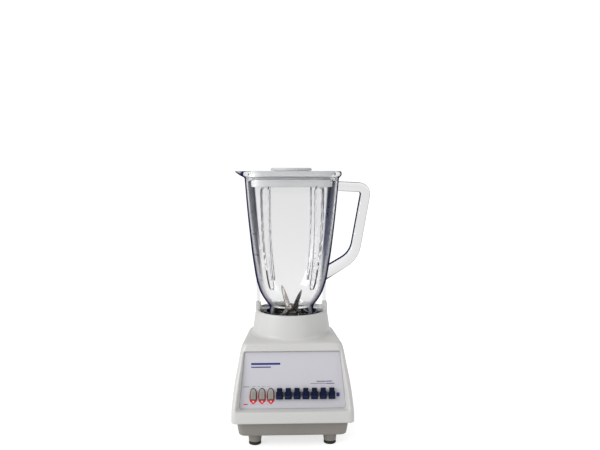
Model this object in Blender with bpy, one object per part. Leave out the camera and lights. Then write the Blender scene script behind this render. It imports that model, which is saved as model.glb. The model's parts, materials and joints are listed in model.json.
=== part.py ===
"""Countertop blender at rest: a motor base with ten keys, and the jar that stands on it.

Metres, +Z up. The origin is the bottom centre of the whole object's box, so the jar's axis stands at
AXIS_X. The pieces are modelled around that axis, as children of the empty "jar_axis". The panel and
the keys are modelled flat, with Z out of the panel, as children of the empty "panel_frame"."""

import math

import bmesh
import bpy
from mathutils import Matrix, Vector

MM = 0.001
GAP = 0.3 * MM  # between two pieces that rest on each other
ROUND = 36  # sides of a large round piece
SMALL_ROUND = 20  # sides of a small round piece
TINY_ROUND = 12  # sides of a screw or a pin

# Housing: its outline from the bottom up, as (height, half width at the front, half width at the rear,
# front, rear, front corner radius, rear corner radius)
HOUSING_HALF_WIDTH = 80 * MM
HOUSING_LEVELS = (
    (37.0, 80.0, 80.0, -92.0, 92.0, 7.0, 9.0),
    (53.0, 79.7, 79.7, -90.0, 90.5, 7.0, 10.0),
    (61.0, 79.0, 79.0, -87.0, 89.5, 7.0, 11.0),
    (86.0, 76.0, 76.0, -78.0, 86.0, 8.0, 16.0),
    (111.0, 71.5, 68.0, -69.0, 79.0, 9.0, 29.0),
    (125.5, 68.3, 58.5, -62.0, 72.0, 9.0, 39.0),
    (132.5, 65.8, 55.0, -58.5, 64.5, 10.0, 42.0),
    (134.8, 63.0, 54.5, -56.7, 60.8, 13.0, 44.0),
    (135.6, 60.0, 55.0, -55.9, 58.5, 16.0, 46.0),
)
CAVITY_TOP_LEVEL = (132.0, 61.5, 49.0, -54.0, 58.5, 8.0, 38.0)
WALL = 2.8 * MM
CAVITY_TOP = CAVITY_TOP_LEVEL[0] * MM
CORNER_STEPS = 6

# The ring on top of the housing, and the well inside it that the collar drops into
RING_LOW_RADIUS = 54.5 * MM
RING_TOP_RADIUS = 51.0 * MM
RING_TOP = 169.0 * MM
WELL_RADIUS = 46.5 * MM
WELL_FLOOR = 132.0 * MM
WELL_FLOOR_UNDER = 129.0 * MM
SHAFT_HOLE_RADIUS = 13.0 * MM
LUG_TOP = 179.4 * MM
LUG_INNER = 44.0 * MM
LUG_OUTER = 51.5 * MM
LUG_HALF_WIDTH = 7.2 * MM
LUG_FOOT = 150.0 * MM
LUG_SLOT_HALF_WIDTH = 2.2 * MM
NOTCH_HALF_WIDTH = 6.65 * MM
NOTCH_FLOOR = 140.0 * MM

# Panel: a trapezium on the slope from PANEL_LOW to PANEL_HIGH, both (y, z)
PANEL_LOW = Vector((-80.0 * MM, 53.6 * MM))
PANEL_HIGH = Vector((-60.0 * MM, 123.4 * MM))
PANEL_LOW_HALF = 69.5 * MM
PANEL_HIGH_HALF = 63.0 * MM
PANEL_THICKNESS = 2.0 * MM
RECESS_REACH = 16.0 * MM
RECESS_SIDE_FLARE = 0.52
RECESS_LOW_FLARE = 0.38
RECESS_HIGH_FLARE = 0.15

# Keys, in the panel's own frame
KEY_COUNT = 10
PULSE_KEYS = 3
KEY_PITCH = 11.45 * MM
KEY_ROW = -17.7 * MM
KEY_HEIGHT = 13.8 * MM
KEY_PROUD = 5.0 * MM
KEY_TAIL = 6.4 * MM
PULSE_HALF = 3.45 * MM
SPEED_HALF = 4.1 * MM
SPEED_NECK_HALF = 2.75 * MM
KEY_CLEARANCE = 0.4 * MM
WINDOW_HALF_WIDTH = 58.0 * MM
WINDOW_HALF_HEIGHT = 9.0 * MM

# Pan: (height, half width, half depth) of its outline, from the bottom up
PAN_LEVELS = (
    (17.0, 69.5, 81.0),
    (36.5, 72.5, 84.0),
    (39.0, 72.5, 84.0),
    (39.0, 76.3, 88.0),
    (41.5, 76.3, 88.0),
)
PAN_FLOOR = 19.5 * MM
PAN_WALL = 2.5 * MM
PAN_TOP = 41.5 * MM
PAN_CORNER = 8.0 * MM
FOOT_X = 50.0 * MM
FOOT_Y = 62.0 * MM
FOOT_RADIUS_LOW = 8.2 * MM
FOOT_RADIUS_HIGH = 9.6 * MM
PAD_HEIGHT = 3.2 * MM
SCREW_X = 63.0 * MM
SCREW_Y = 72.0 * MM
POST_RADIUS = 5.0 * MM
BOSS_TOP = 64.0 * MM
VENT_COUNT = 7
VENT_PITCH = 9.0 * MM
BUSHING_HEIGHT = 28.5 * MM
BUSHING_RADIUS = 6.0 * MM

# The stack in the collar, from its ledge up
COLLAR_BOTTOM = WELL_FLOOR + GAP
COLLAR_TOP = 166.3 * MM
COLLAR_LEDGE = 147.4 * MM
COLLAR_RIM_RADIUS = 37.5 * MM
COLLAR_BORE = 35.0 * MM
FIN_COUNT = 6
FIN_TOP_RADIUS = 42.8 * MM
FIN_LOW_RADIUS = 40.5 * MM
FIN_HALF_WIDTH = 2.0 * MM
DISC_RADIUS = 32.2 * MM
DISC_THICKNESS = 2.0 * MM
DISC_UNDER = COLLAR_LEDGE + GAP
DISC_TOP = DISC_UNDER + DISC_THICKNESS
BOSS_RADIUS = 7.5 * MM
BOSS_HEIGHT = 16.7 * MM
SEAL_RADIUS = 33.3 * MM
SEAL_HOLE = 25.5 * MM
SEAL_THICKNESS = 2.7 * MM
SEAL_UNDER = DISC_TOP + GAP
JAR_BOTTOM = SEAL_UNDER + SEAL_THICKNESS + GAP

# Blades
BLADE_THICKNESS = 1.5 * MM
BLADE_ANGLE = math.radians(38)
BLADE_HOLE = 3.2 * MM
SPINDLE_RADIUS = 2.9 * MM
WASHER_UNDER = DISC_TOP + BOSS_HEIGHT + GAP
LOWER_BLADE_MIDDLE = WASHER_UNDER + 2.05 * MM
UPPER_BLADE_MIDDLE = LOWER_BLADE_MIDDLE + BLADE_THICKNESS + GAP
NUT_UNDER = UPPER_BLADE_MIDDLE + BLADE_THICKNESS / 2 + GAP

# Jar: (height above the jar's bottom, half width, squareness) of its outline. Squareness 2 is a circle.
JAR_OUTSIDE = (
    (0.0, 30.6, 2.0),
    (1.2, 31.0, 2.0),
    (21.0, 31.2, 2.0),
    (30.0, 37.8, 2.0),
    (39.5, 43.3, 2.0),
    (54.0, 48.0, 2.3),
    (83.0, 52.8, 3.0),
    (126.0, 57.4, 4.4),
    (166.0, 60.8, 5.8),
    (197.0, 63.0, 6.6),
    (200.5, 63.4, 6.8),
    (203.0, 66.0, 7.0),
    (207.5, 66.5, 7.0),
    (209.0, 65.7, 7.0),
)
JAR_INSIDE = (
    (-1.0, 28.0, 2.0),
    (19.5, 28.0, 2.0),
    (30.0, 34.6, 2.0),
    (39.5, 40.2, 2.0),
    (54.0, 45.1, 2.3),
    (83.0, 50.0, 3.0),
    (126.0, 54.6, 4.4),
    (166.0, 58.0, 5.8),
    (196.0, 60.1, 6.6),
    (201.0, 57.0, 6.8),
    (203.0, 57.0, 7.0),
    (203.0, 60.3, 7.0),
    (208.0, 60.6, 7.0),
    (210.0, 62.2, 7.0),
)
JAR_HEIGHT = 209.0 * MM
JAR_LEDGE = JAR_BOTTOM + 203.0 * MM
SPOUT_START = 197.0 * MM
SPOUT_REACH = 12.7 * MM
SPOUT_HALF_ANGLE = math.radians(24)
NECK_THREAD_CREST = 33.5 * MM
COLLAR_THREAD_CREST = 34.2 * MM
THREAD_LEAD = 6.4 * MM
RIB_BOTTOM = RING_TOP + GAP + 0.1 * MM
RIB_OUTER = 48.8 * MM
RIB_HALF_THICKNESS = 1.5 * MM
HANDLE_HALF_WIDTH = 11.0 * MM
HANDLE_REACH = 109.8 * MM
# Handle outline in the (x, z) plane: x from the axis, z above the jar's bottom
HANDLE_OUTSIDE = (
    (58.0, 195.5),
    (99.0, 193.0),
    (106.5, 189.0),
    (109.8, 180.0),
    (94.0, 93.0),
    (76.0, 73.5),
    (46.0, 55.0),
)
HANDLE_INSIDE = (
    (48.0, 76.0),
    (78.0, 95.0),
    (82.0, 99.5),
    (95.8, 174.5),
    (92.5, 179.5),
    (58.0, 181.8),
)

# Lid and filler cap
LID_UNDER = JAR_LEDGE + GAP
LID_TOP = LID_UNDER + 6.0 * MM
LID_HALF = 59.4 * MM
LID_SQUARENESS = 7.0
SKIRT_HALF = 55.8 * MM
SKIRT_DEPTH = 15.0 * MM
SKIRT_WALL = 2.2 * MM
FILLER_RADIUS = 25.0 * MM
FILLER_DEPTH = 13.0 * MM
CAP_FLANGE = 28.5 * MM
CAP_HEIGHT = 4.0 * MM

# Motor
SHAFT_RADIUS = 4.0 * MM
SHAFT_BORE = SHAFT_RADIUS + GAP
CORE_LOW = 70.0 * MM
CORE_HIGH = 98.0 * MM
CORE_HALF_X = 39.0 * MM
CORE_HALF_Y = 38.0 * MM
ROTOR_RADIUS = 21.0 * MM
COIL_INNER_X = 24.0 * MM
COIL_OUTER_X = 30.0 * MM
COIL_HALF_Y = 21.0 * MM
COIL_LOW = 63.0 * MM
COIL_HIGH = 105.0 * MM
COIL_WIRE = 6.5 * MM
COMMUTATOR_RADIUS = 10.3 * MM
BRACKET_HALF_X = 11.0 * MM
BRACKET_LEG = 4.0 * MM
BEARING_RADIUS = 8.0 * MM
BRUSH_MIDDLE = 111.0 * MM
FAN_BLADES = 9
FAN_RADIUS = 29.0 * MM
STUD_HALF = 4.0 * MM
SOCKET_RADIUS = 8.5 * MM

AXIS_X = (HOUSING_HALF_WIDTH - HANDLE_REACH) / 2

COLOURS = {  # name: (colour, roughness, metallic, alpha)
    "white_plastic": ((0.78, 0.78, 0.77), 0.38, 0.0, 1.0),
    "panel_foil": ((0.56, 0.56, 0.61), 0.45, 0.0, 1.0),
    "key_grey": ((0.37, 0.35, 0.31), 0.45, 0.0, 1.0),
    "key_navy": ((0.008, 0.014, 0.075), 0.4, 0.0, 1.0),
    "pan_taupe": ((0.23, 0.21, 0.19), 0.5, 0.0, 1.0),
    "black_rubber": ((0.02, 0.02, 0.02), 0.75, 0.0, 1.0),
    "black_plastic": ((0.012, 0.012, 0.012), 0.22, 0.0, 1.0),
    "clear_plastic": ((0.9, 0.93, 0.95), 0.05, 0.0, 0.35),
    "lid_plastic": ((0.62, 0.62, 0.62), 0.4, 0.0, 1.0),
    "seal_rubber": ((0.3, 0.3, 0.27), 0.7, 0.0, 1.0),
    "stainless": ((0.6, 0.58, 0.55), 0.3, 1.0, 1.0),
    "steel": ((0.45, 0.45, 0.46), 0.4, 1.0, 1.0),
    "brass": ((0.62, 0.45, 0.2), 0.4, 1.0, 1.0),
    "copper_wire": ((0.5, 0.2, 0.08), 0.35, 1.0, 1.0),
    "carbon": ((0.05, 0.05, 0.05), 0.6, 0.0, 1.0),
}


def clear_scene():
    """Removes every object of the scene."""
    for old in list(bpy.data.objects):
        bpy.data.objects.remove(old, do_unlink=True)


def material(name):
    """The material of that name in COLOURS, made on its first use."""
    found = bpy.data.materials.get(name)
    if found:
        return found
    colour, roughness, metallic, alpha = COLOURS[name]
    made = bpy.data.materials.new(name)
    made.use_nodes = True
    shader = made.node_tree.nodes["Principled BSDF"]
    shader.inputs["Base Color"].default_value = (*colour, 1.0)
    shader.inputs["Roughness"].default_value = roughness
    shader.inputs["Metallic"].default_value = metallic
    shader.inputs["Alpha"].default_value = alpha
    return made


def empty(name, location, rotation_x=0.0, parent=None):
    """An empty that pieces are placed under."""
    made = bpy.data.objects.new(name, None)
    made.location = location
    made.rotation_euler = (rotation_x, 0.0, 0.0)
    made.parent = parent
    bpy.context.scene.collection.objects.link(made)
    return made


def piece(name, shape, look, parent):
    """The object of a finished bmesh, with its faces turned out and its round parts smooth."""
    bmesh.ops.recalc_face_normals(shape, faces=shape.faces)
    mesh = bpy.data.meshes.new(name)
    shape.to_mesh(mesh)
    shape.free()
    mesh.materials.append(material(look))
    mesh.shade_smooth()
    mesh.set_sharp_from_angle(angle=math.radians(32))
    made = bpy.data.objects.new(name, mesh)
    made.parent = parent
    bpy.context.scene.collection.objects.link(made)
    return made


def helper(name, shape, parent):
    """An object that only cuts or joins others."""
    made = piece(name, shape, "white_plastic", parent)
    made.hide_render = True
    made.display_type = "WIRE"
    return made


def boolean(target, operation, shape, label):
    """Joins shape to the target, or cuts it out, through a helper under the same parent."""
    tool = helper(f"{label}_helper", shape, target.parent)
    step = target.modifiers.new(label, "BOOLEAN")
    step.operation = operation
    step.solver = "EXACT"
    step.object = tool
    return tool


def add(target, shape, label):
    """Joins shape to the target."""
    return boolean(target, "UNION", shape, label)


def cut(target, shape, label):
    """Cuts shape out of the target."""
    return boolean(target, "DIFFERENCE", shape, label)


def loft(rings):
    """A closed solid through rings of equally many points, with flat ends."""
    shape = bmesh.new()
    made = [[shape.verts.new(point) for point in ring] for ring in rings]
    count = len(made[0])
    for low, high in zip(made, made[1:]):
        for i in range(count):
            j = (i + 1) % count
            shape.faces.new((low[i], low[j], high[j], high[i]))
    shape.faces.new(made[0][::-1])
    shape.faces.new(made[-1])
    return shape


def revolve(profile, sides=ROUND):
    """A closed (radius, height) outline turned round the Z axis. Points on the axis are joined."""
    shape = bmesh.new()
    turns = [math.tau * i / sides for i in range(sides)]
    made = []
    for radius, height in profile:
        if radius == 0:
            made.append([shape.verts.new((0, 0, height))] * sides)
        else:
            ring = [(radius * math.cos(turn), radius * math.sin(turn), height) for turn in turns]
            made.append([shape.verts.new(point) for point in ring])
    for this, following in zip(made, made[1:] + made[:1]):
        for i in range(sides):
            j = (i + 1) % sides
            corners = list(dict.fromkeys((this[i], this[j], following[j], following[i])))
            if len(corners) > 2:
                shape.faces.new(corners)
    return shape


def cylinder(radius, low, high, sides=ROUND, centre=(0.0, 0.0)):
    """An upright cylinder."""
    shape = revolve(((0, low), (radius, low), (radius, high), (0, high)), sides)
    bmesh.ops.translate(shape, verts=shape.verts, vec=(*centre, 0.0))
    return shape


def tube(outer, inner, low, high, sides=ROUND):
    """An upright round tube."""
    return revolve(((inner, low), (outer, low), (outer, high), (inner, high)), sides)


def box(x, y, z):
    """A box from its (low, high) along each axis."""
    shape = bmesh.new()
    bmesh.ops.create_cube(shape, size=1.0)
    spans = [high - low for low, high in (x, y, z)]
    middles = [(low + high) / 2 for low, high in (x, y, z)]
    bmesh.ops.scale(shape, verts=shape.verts, vec=spans)
    bmesh.ops.translate(shape, verts=shape.verts, vec=middles)
    return shape


def prism(outline, low, high):
    """An (x, y) outline pulled up from low to high."""
    return loft([[(x, y, level) for x, y in outline] for level in (low, high)])


def side_slab(outline, half_width):
    """An (x, z) outline with a thickness of half_width to each side of y = 0."""
    return loft([[(x, y, z) for x, z in outline] for y in (-half_width, half_width)])


def turned(shape, angle, axis="Z"):
    """The shape turned about an axis through the origin."""
    bmesh.ops.rotate(shape, verts=shape.verts, matrix=Matrix.Rotation(angle, 3, axis))
    return shape


def rounded_rectangle(half_x, front, rear, corner):
    """The (x, y) points of a rectangle with round corners."""
    points = []
    centres = (
        (half_x - corner, rear - corner),
        (corner - half_x, rear - corner),
        (corner - half_x, front + corner),
        (half_x - corner, front + corner),
    )
    for quarter, (x, y) in enumerate(centres):
        for step in range(CORNER_STEPS + 1):
            angle = math.pi / 2 * (quarter + step / CORNER_STEPS)
            points.append((x + corner * math.cos(angle), y + corner * math.sin(angle)))
    return points


def superellipse(half, squareness, sides=ROUND):
    """(radius, angle) round a square that squareness rounds: 2 is a circle, and more is squarer."""
    found = []
    for i in range(sides):
        angle = math.tau * i / sides
        spread = abs(math.cos(angle)) ** squareness + abs(math.sin(angle)) ** squareness
        found.append((half * spread ** (-1 / squareness), angle))
    return found


def helix_ridge(root, crest, start, turns):
    """A screw thread's ridge, from its root radius to its crest radius."""
    steps = round(SMALL_ROUND * turns)
    rings = []
    for i in range(steps + 1):
        angle = math.tau * i / SMALL_ROUND
        rise = start + THREAD_LEAD * i / SMALL_ROUND
        corners = ((root, -1.3), (crest, -0.5), (crest, 0.5), (root, 1.3))
        rings.append([(r * math.cos(angle), r * math.sin(angle), rise + dz * MM) for r, dz in corners])
    return loft(rings)


def mirrored_pairs(x, y):
    """The four places at plus and minus x and y."""
    return [(side * x, end * y) for end in (-1, 1) for side in (-1, 1)]


def housing_ring(level, inset):
    """One ring of the housing's outline, moved in by a wall thickness. It narrows towards the rear."""
    height, half_x, rear_half, front, rear, corner, rear_corner = (value * MM for value in level)
    half_x, rear_half = half_x - inset, rear_half - inset
    front, rear = front + inset, rear - inset
    corner, rear_corner = max(corner - inset, 2 * MM), max(rear_corner - inset, 2 * MM)
    corners = (
        (half_x - rear_corner, rear - rear_corner, rear_corner),
        (rear_corner - half_x, rear - rear_corner, rear_corner),
        (corner - half_x, front + corner, corner),
        (half_x - corner, front + corner, corner),
    )
    ring = []
    for quarter, (x, y, radius) in enumerate(corners):
        for step in range(CORNER_STEPS + 1):
            angle = math.pi / 2 * (quarter + step / CORNER_STEPS)
            along = y + radius * math.sin(angle)
            share = (along - front) / (rear - front)
            width = 1 + (rear_half / half_x - 1) * share
            ring.append(((x + radius * math.cos(angle)) * width, along, height))
    return ring


def housing_rings(levels, inset):
    """The rings of the housing's outline, moved in by a wall thickness."""
    return [housing_ring(level, inset) for level in levels]


def panel_outline(flare, extra=0.0):
    """The panel's (x, y) corners in its own frame, opened out by a reach in front of its face."""
    half_length = (PANEL_HIGH - PANEL_LOW).length / 2
    side = RECESS_SIDE_FLARE * flare + extra
    low = -half_length - RECESS_LOW_FLARE * flare - extra
    high = half_length + RECESS_HIGH_FLARE * flare + extra
    return [
        (-PANEL_LOW_HALF - side, low),
        (PANEL_LOW_HALF + side, low),
        (PANEL_HIGH_HALF + side, high),
        (-PANEL_HIGH_HALF - side, high),
    ]


def recess_shape():
    """What the panel's recess takes out of the housing, in the panel's frame."""
    rings = []
    for depth, flare, extra in (
        (-PANEL_THICKNESS - GAP, 0.0, GAP),
        (0.0, 0.0, GAP),
        (RECESS_REACH, RECESS_REACH, GAP),
    ):
        rings.append([(x, y, depth) for x, y in panel_outline(flare, extra)])
    return loft(rings)


def make_cavity(parent, panel_frame):
    """The space inside the housing: it stops short of the well and of the wall behind the panel."""
    rings = housing_rings(HOUSING_LEVELS[:6], WALL)
    top = housing_ring(CAVITY_TOP_LEVEL, 0.0)
    low = [(x, y, z - MM) for x, y, z in rings[0]]
    cavity = helper("cavity_helper", loft([low, *rings, top]), parent)
    cut(cavity, cylinder(WELL_RADIUS + WALL, WELL_FLOOR_UNDER, CAVITY_TOP + MM), "cavity_well")
    wall_back = -PANEL_THICKNESS - GAP - WALL
    outline = panel_outline(RECESS_REACH, WALL)
    step = cavity.modifiers.new("cavity_panel", "BOOLEAN")
    step.operation = "DIFFERENCE"
    step.object = helper("cavity_panel_helper", prism(outline, wall_back, 3 * RECESS_REACH), panel_frame)
    return cavity


def lug_shape(side):
    """One of the two horns that stop the jar from turning: side is 1 or -1."""
    outline = [
        (side * LUG_INNER, LUG_FOOT),
        (side * LUG_OUTER, LUG_FOOT),
        (side * LUG_OUTER, LUG_TOP - MM),
        (side * (LUG_OUTER - MM), LUG_TOP),
        (side * (LUG_OUTER - 3.5 * MM), LUG_TOP),
        (side * LUG_INNER, RING_TOP + 3 * MM),
    ]
    return side_slab(outline, LUG_HALF_WIDTH)


def make_housing(parent, panel_frame):
    """The white housing: shell, ring with its well, lugs, rear notch, panel recess and screw bosses."""
    housing = piece("base_housing", loft(housing_rings(HOUSING_LEVELS, 0.0)), "white_plastic", parent)
    ring = revolve(
        (
            (0, WELL_FLOOR_UNDER),
            (RING_LOW_RADIUS, WELL_FLOOR_UNDER),
            (RING_LOW_RADIUS, 136 * MM),
            (RING_TOP_RADIUS + 0.2 * MM, RING_TOP - MM),
            (RING_TOP_RADIUS - 0.8 * MM, RING_TOP),
            (0, RING_TOP),
        )
    )
    add(housing, ring, "ring")
    cut(housing, cylinder(WELL_RADIUS, WELL_FLOOR, RING_TOP + MM), "well")
    for name, side in (("left_lug", -1), ("right_lug", 1)):
        add(housing, lug_shape(side), name)
    cavity = make_cavity(parent, panel_frame)
    step = housing.modifiers.new("cavity", "BOOLEAN")
    step.operation = "DIFFERENCE"
    step.object = cavity
    for number, (x, y) in enumerate(mirrored_pairs(SCREW_X, SCREW_Y), 1):
        side = math.copysign(1, x)
        reach = sorted((x - side * 4.5 * MM, side * (HOUSING_HALF_WIDTH - 2 * MM)))
        boss = box(reach, (y - 4.5 * MM, y + 4.5 * MM), (PAN_TOP + GAP, BOSS_TOP))
        add(housing, boss, f"boss_{number}")
        cut(housing, cylinder(2 * MM, PAN_TOP, BOSS_TOP - 4 * MM, TINY_ROUND, (x, y)), f"boss_hole_{number}")
    cut(housing, cylinder(SHAFT_HOLE_RADIUS, 120 * MM, 140 * MM, SMALL_ROUND), "shaft_hole")
    slot = box((-60 * MM, 60 * MM), (-LUG_SLOT_HALF_WIDTH, LUG_SLOT_HALF_WIDTH), (RING_TOP, 190 * MM))
    cut(housing, slot, "lug_slots")
    notch = box((-NOTCH_HALF_WIDTH, NOTCH_HALF_WIDTH), (30 * MM, 60 * MM), (NOTCH_FLOOR, 190 * MM))
    cut(housing, notch, "rear_notch")
    window = box(
        (-WINDOW_HALF_WIDTH, WINDOW_HALF_WIDTH),
        (KEY_ROW - WINDOW_HALF_HEIGHT, KEY_ROW + WINDOW_HALF_HEIGHT),
        (-3 * WALL, 0.0),
    )
    for label, shape in (("recess", recess_shape()), ("window", window)):
        step = housing.modifiers.new(label, "BOOLEAN")
        step.operation = "DIFFERENCE"
        step.object = helper(f"{label}_helper", shape, panel_frame)


def key_place(number):
    """The x of a key in the panel's frame, counted from 0 at the left."""
    return (number - (KEY_COUNT - 1) / 2) * KEY_PITCH


def pulse_outline():
    """A bullet: straight sides below, and a pointed round top."""
    half = KEY_HEIGHT / 2
    shoulder = half - 5.2 * MM
    arch = [
        (PULSE_HALF * math.cos(math.pi * i / 8), shoulder + (half - shoulder) * math.sin(math.pi * i / 8))
        for i in range(9)
    ]
    return [(-PULSE_HALF, -half), (PULSE_HALF, -half), *arch]


def speed_outline():
    """A bottle: a wide body below a narrow neck."""
    half = KEY_HEIGHT / 2
    return [
        (-SPEED_HALF, -half),
        (SPEED_HALF, -half),
        (SPEED_HALF, 1.2 * MM),
        (SPEED_NECK_HALF, 2.6 * MM),
        (SPEED_NECK_HALF, half),
        (-SPEED_NECK_HALF, half),
        (-SPEED_NECK_HALF, 2.6 * MM),
        (-SPEED_HALF, 1.2 * MM),
    ]


def key_shape(outline, x):
    """A key whose edges step in a little at its face."""
    rings = []
    for depth, grow in ((-KEY_TAIL, 1.0), (KEY_PROUD - 0.8 * MM, 1.0), (KEY_PROUD, 0.82)):
        rings.append([(x + u * grow, KEY_ROW + v * (1 + grow) / 2, depth) for u, v in outline])
    return loft(rings)


def make_panel(panel_frame):
    """The panel, with one hole for each key, and the keys."""
    panel = prism(panel_outline(0.0), -PANEL_THICKNESS, 0.0)
    panel = piece("control_panel", panel, "panel_foil", panel_frame)
    reach = KEY_HEIGHT / 2 + KEY_CLEARANCE
    for number in range(KEY_COUNT):
        x = key_place(number)
        pulse = number < PULSE_KEYS
        half = (PULSE_HALF if pulse else SPEED_HALF) + KEY_CLEARANCE
        hole = box((x - half, x + half), (KEY_ROW - reach, KEY_ROW + reach), (-4 * MM, 2 * MM))
        cut(panel, hole, f"key_hole_{number + 1}")
        if pulse:
            key = piece(f"pulse_key_{number + 1}", key_shape(pulse_outline(), 0.0), "key_grey", panel_frame)
        else:
            name = f"speed_key_{number + 1 - PULSE_KEYS}"
            key = piece(name, key_shape(speed_outline(), 0.0), "key_navy", panel_frame)
        key.location.x = x
    block_y = (KEY_ROW - 10 * MM, KEY_ROW + 10 * MM)
    block = box((-WINDOW_HALF_WIDTH, WINDOW_HALF_WIDTH), block_y, (-24 * MM, -10 * MM))
    piece("switch_block", block, "black_plastic", panel_frame)


def make_pan(parent):
    """The pan with its moulded feet, posts, vents and bushing hole, and what is fitted to it."""
    rings = []
    for height, half_x, half_y in PAN_LEVELS:
        outline = rounded_rectangle(half_x * MM, -half_y * MM, half_y * MM, PAN_CORNER)
        rings.append([(x, y, height * MM) for x, y in outline])
    pan = piece("base_pan", loft(rings), "pan_taupe", parent)
    hollow = []
    for height, half_x, half_y in ((PAN_FLOOR, 67.3 * MM, 78.8 * MM), (PAN_TOP + MM, 70 * MM, 81.5 * MM)):
        outline = rounded_rectangle(half_x, -half_y, half_y, PAN_CORNER - PAN_WALL)
        hollow.append([(x, y, height) for x, y in outline])
    cut(pan, loft(hollow), "pan_hollow")
    for number, (x, y) in enumerate(mirrored_pairs(FOOT_X, FOOT_Y), 1):
        low = PAD_HEIGHT + GAP
        high = PAN_LEVELS[0][0] * MM + MM
        foot = revolve(((0, low), (FOOT_RADIUS_LOW, low), (FOOT_RADIUS_HIGH, high), (0, high)), SMALL_ROUND)
        bmesh.ops.translate(foot, verts=foot.verts, vec=(x, y, 0.0))
        add(pan, foot, f"foot_{number}")
        pad = piece(f"foot_pad_{number}", pad_shape(), "black_rubber", parent)
        pad.location = (x, y, 0.0)
    for number, (x, y) in enumerate(mirrored_pairs(SCREW_X, SCREW_Y), 1):
        add(pan, cylinder(POST_RADIUS, 18 * MM, PAN_TOP, TINY_ROUND, (x, y)), f"post_{number}")
        cut(pan, cylinder(2 * MM, 15 * MM, PAN_TOP + MM, TINY_ROUND, (x, y)), f"post_hole_{number}")
        cut(pan, cylinder(4 * MM, 15 * MM, 26 * MM, TINY_ROUND, (x, y)), f"post_sink_{number}")
        screw = piece(f"housing_screw_{number}", screw_shape(), "steel", parent)
        screw.location = (x, y, 0.0)
    for number in range(VENT_COUNT):
        x = (number - (VENT_COUNT - 1) / 2) * VENT_PITCH
        vent = box((x - 1.6 * MM, x + 1.6 * MM), (-24 * MM, 24 * MM), (15 * MM, 22 * MM))
        cut(pan, vent, f"vent_{number + 1}")
    hole = turned(cylinder(BUSHING_RADIUS + GAP, 70 * MM, 90 * MM, SMALL_ROUND), -math.pi / 2, "X")
    bmesh.ops.translate(hole, verts=hole.verts, vec=(0.0, 0.0, BUSHING_HEIGHT))
    cut(pan, hole, "bushing_hole")
    bushing = piece("cord_bushing", bushing_shape(), "black_rubber", parent)
    bushing.location.z = BUSHING_HEIGHT


def pad_shape():
    """A rubber pad under a foot, with a worn lower edge."""
    radius = FOOT_RADIUS_LOW
    profile = ((0, 0), (radius - MM, 0), (radius, MM), (radius, PAD_HEIGHT), (0, PAD_HEIGHT))
    return revolve(profile, SMALL_ROUND)


def screw_shape():
    """A pan-head screw, pointing up."""
    head = 26 * MM - GAP
    profile = (
        (0, head - 2.4 * MM),
        (2.8 * MM, head - 2.4 * MM),
        (3.6 * MM, head - MM),
        (3.6 * MM, head),
        (1.7 * MM, head),
        (1.7 * MM, 55 * MM),
        (0, 57 * MM),
    )
    return revolve(profile, TINY_ROUND)


def bushing_shape():
    """A grommet in the pan's rear wall, along Y, for the mains lead."""
    outside = 84.3 * MM
    inside = 78.4 * MM
    profile = (
        (3.6 * MM, inside - 2.5 * MM),
        (8 * MM, inside - 2.5 * MM),
        (8 * MM, inside),
        (BUSHING_RADIUS, inside),
        (BUSHING_RADIUS, outside),
        (8 * MM, outside),
        (7.4 * MM, outside + 2.5 * MM),
        (3.6 * MM, outside + 3.5 * MM),
    )
    return turned(revolve(profile, SMALL_ROUND), -math.pi / 2, "X")


def make_collar(parent):
    """The threaded collar that clamps the blade plate and the seal to the jar's neck."""
    profile = (
        (30.5 * MM, COLLAR_BOTTOM),
        (33.4 * MM, COLLAR_BOTTOM),
        (34.2 * MM, COLLAR_BOTTOM + MM),
        (36.4 * MM, COLLAR_TOP - 5 * MM),
        (COLLAR_RIM_RADIUS, COLLAR_TOP - 4 * MM),
        (COLLAR_RIM_RADIUS, COLLAR_TOP - 0.6 * MM),
        (COLLAR_RIM_RADIUS - 0.6 * MM, COLLAR_TOP),
        (COLLAR_BORE, COLLAR_TOP),
        (COLLAR_BORE, COLLAR_LEDGE),
        (27 * MM, COLLAR_LEDGE),
        (27 * MM, COLLAR_LEDGE - 3 * MM),
        (30.5 * MM, COLLAR_LEDGE - 6 * MM),
    )
    collar = piece("jar_collar", revolve(profile), "black_plastic", parent)
    for number in range(FIN_COUNT):
        outline = (
            (33 * MM, COLLAR_BOTTOM + 7 * MM),
            (FIN_LOW_RADIUS - 2 * MM, COLLAR_BOTTOM + 7 * MM),
            (FIN_LOW_RADIUS, COLLAR_BOTTOM + 9 * MM),
            (FIN_TOP_RADIUS, COLLAR_TOP - 4 * MM),
            (FIN_TOP_RADIUS - 2 * MM, COLLAR_TOP - 2 * MM),
            (35.6 * MM, COLLAR_TOP - 2 * MM),
        )
        fin = side_slab(outline, FIN_HALF_WIDTH)
        add(collar, turned(fin, math.tau * number / FIN_COUNT), f"fin_{number + 1}")
    ridge = helix_ridge(COLLAR_BORE + 0.5 * MM, COLLAR_THREAD_CREST, COLLAR_LEDGE + 8 * MM, 1.2)
    add(collar, ridge, "collar_thread")


def bent_strip(path, thickness):
    """A flat strip that follows (distance, height, half width) points in the XZ plane."""
    rings = []
    for i, (x, z, half) in enumerate(path):
        before = path[max(i - 1, 0)]
        after = path[min(i + 1, len(path) - 1)]
        along = Vector((after[0] - before[0], after[1] - before[1])).normalized()
        off = Vector((-along.y, along.x)) * thickness / 2
        rings.append(
            [
                (x - off.x, -half, z - off.y),
                (x - off.x, half, z - off.y),
                (x + off.x, half, z + off.y),
                (x + off.x, -half, z + off.y),
            ]
        )
    return loft(rings)


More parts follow.
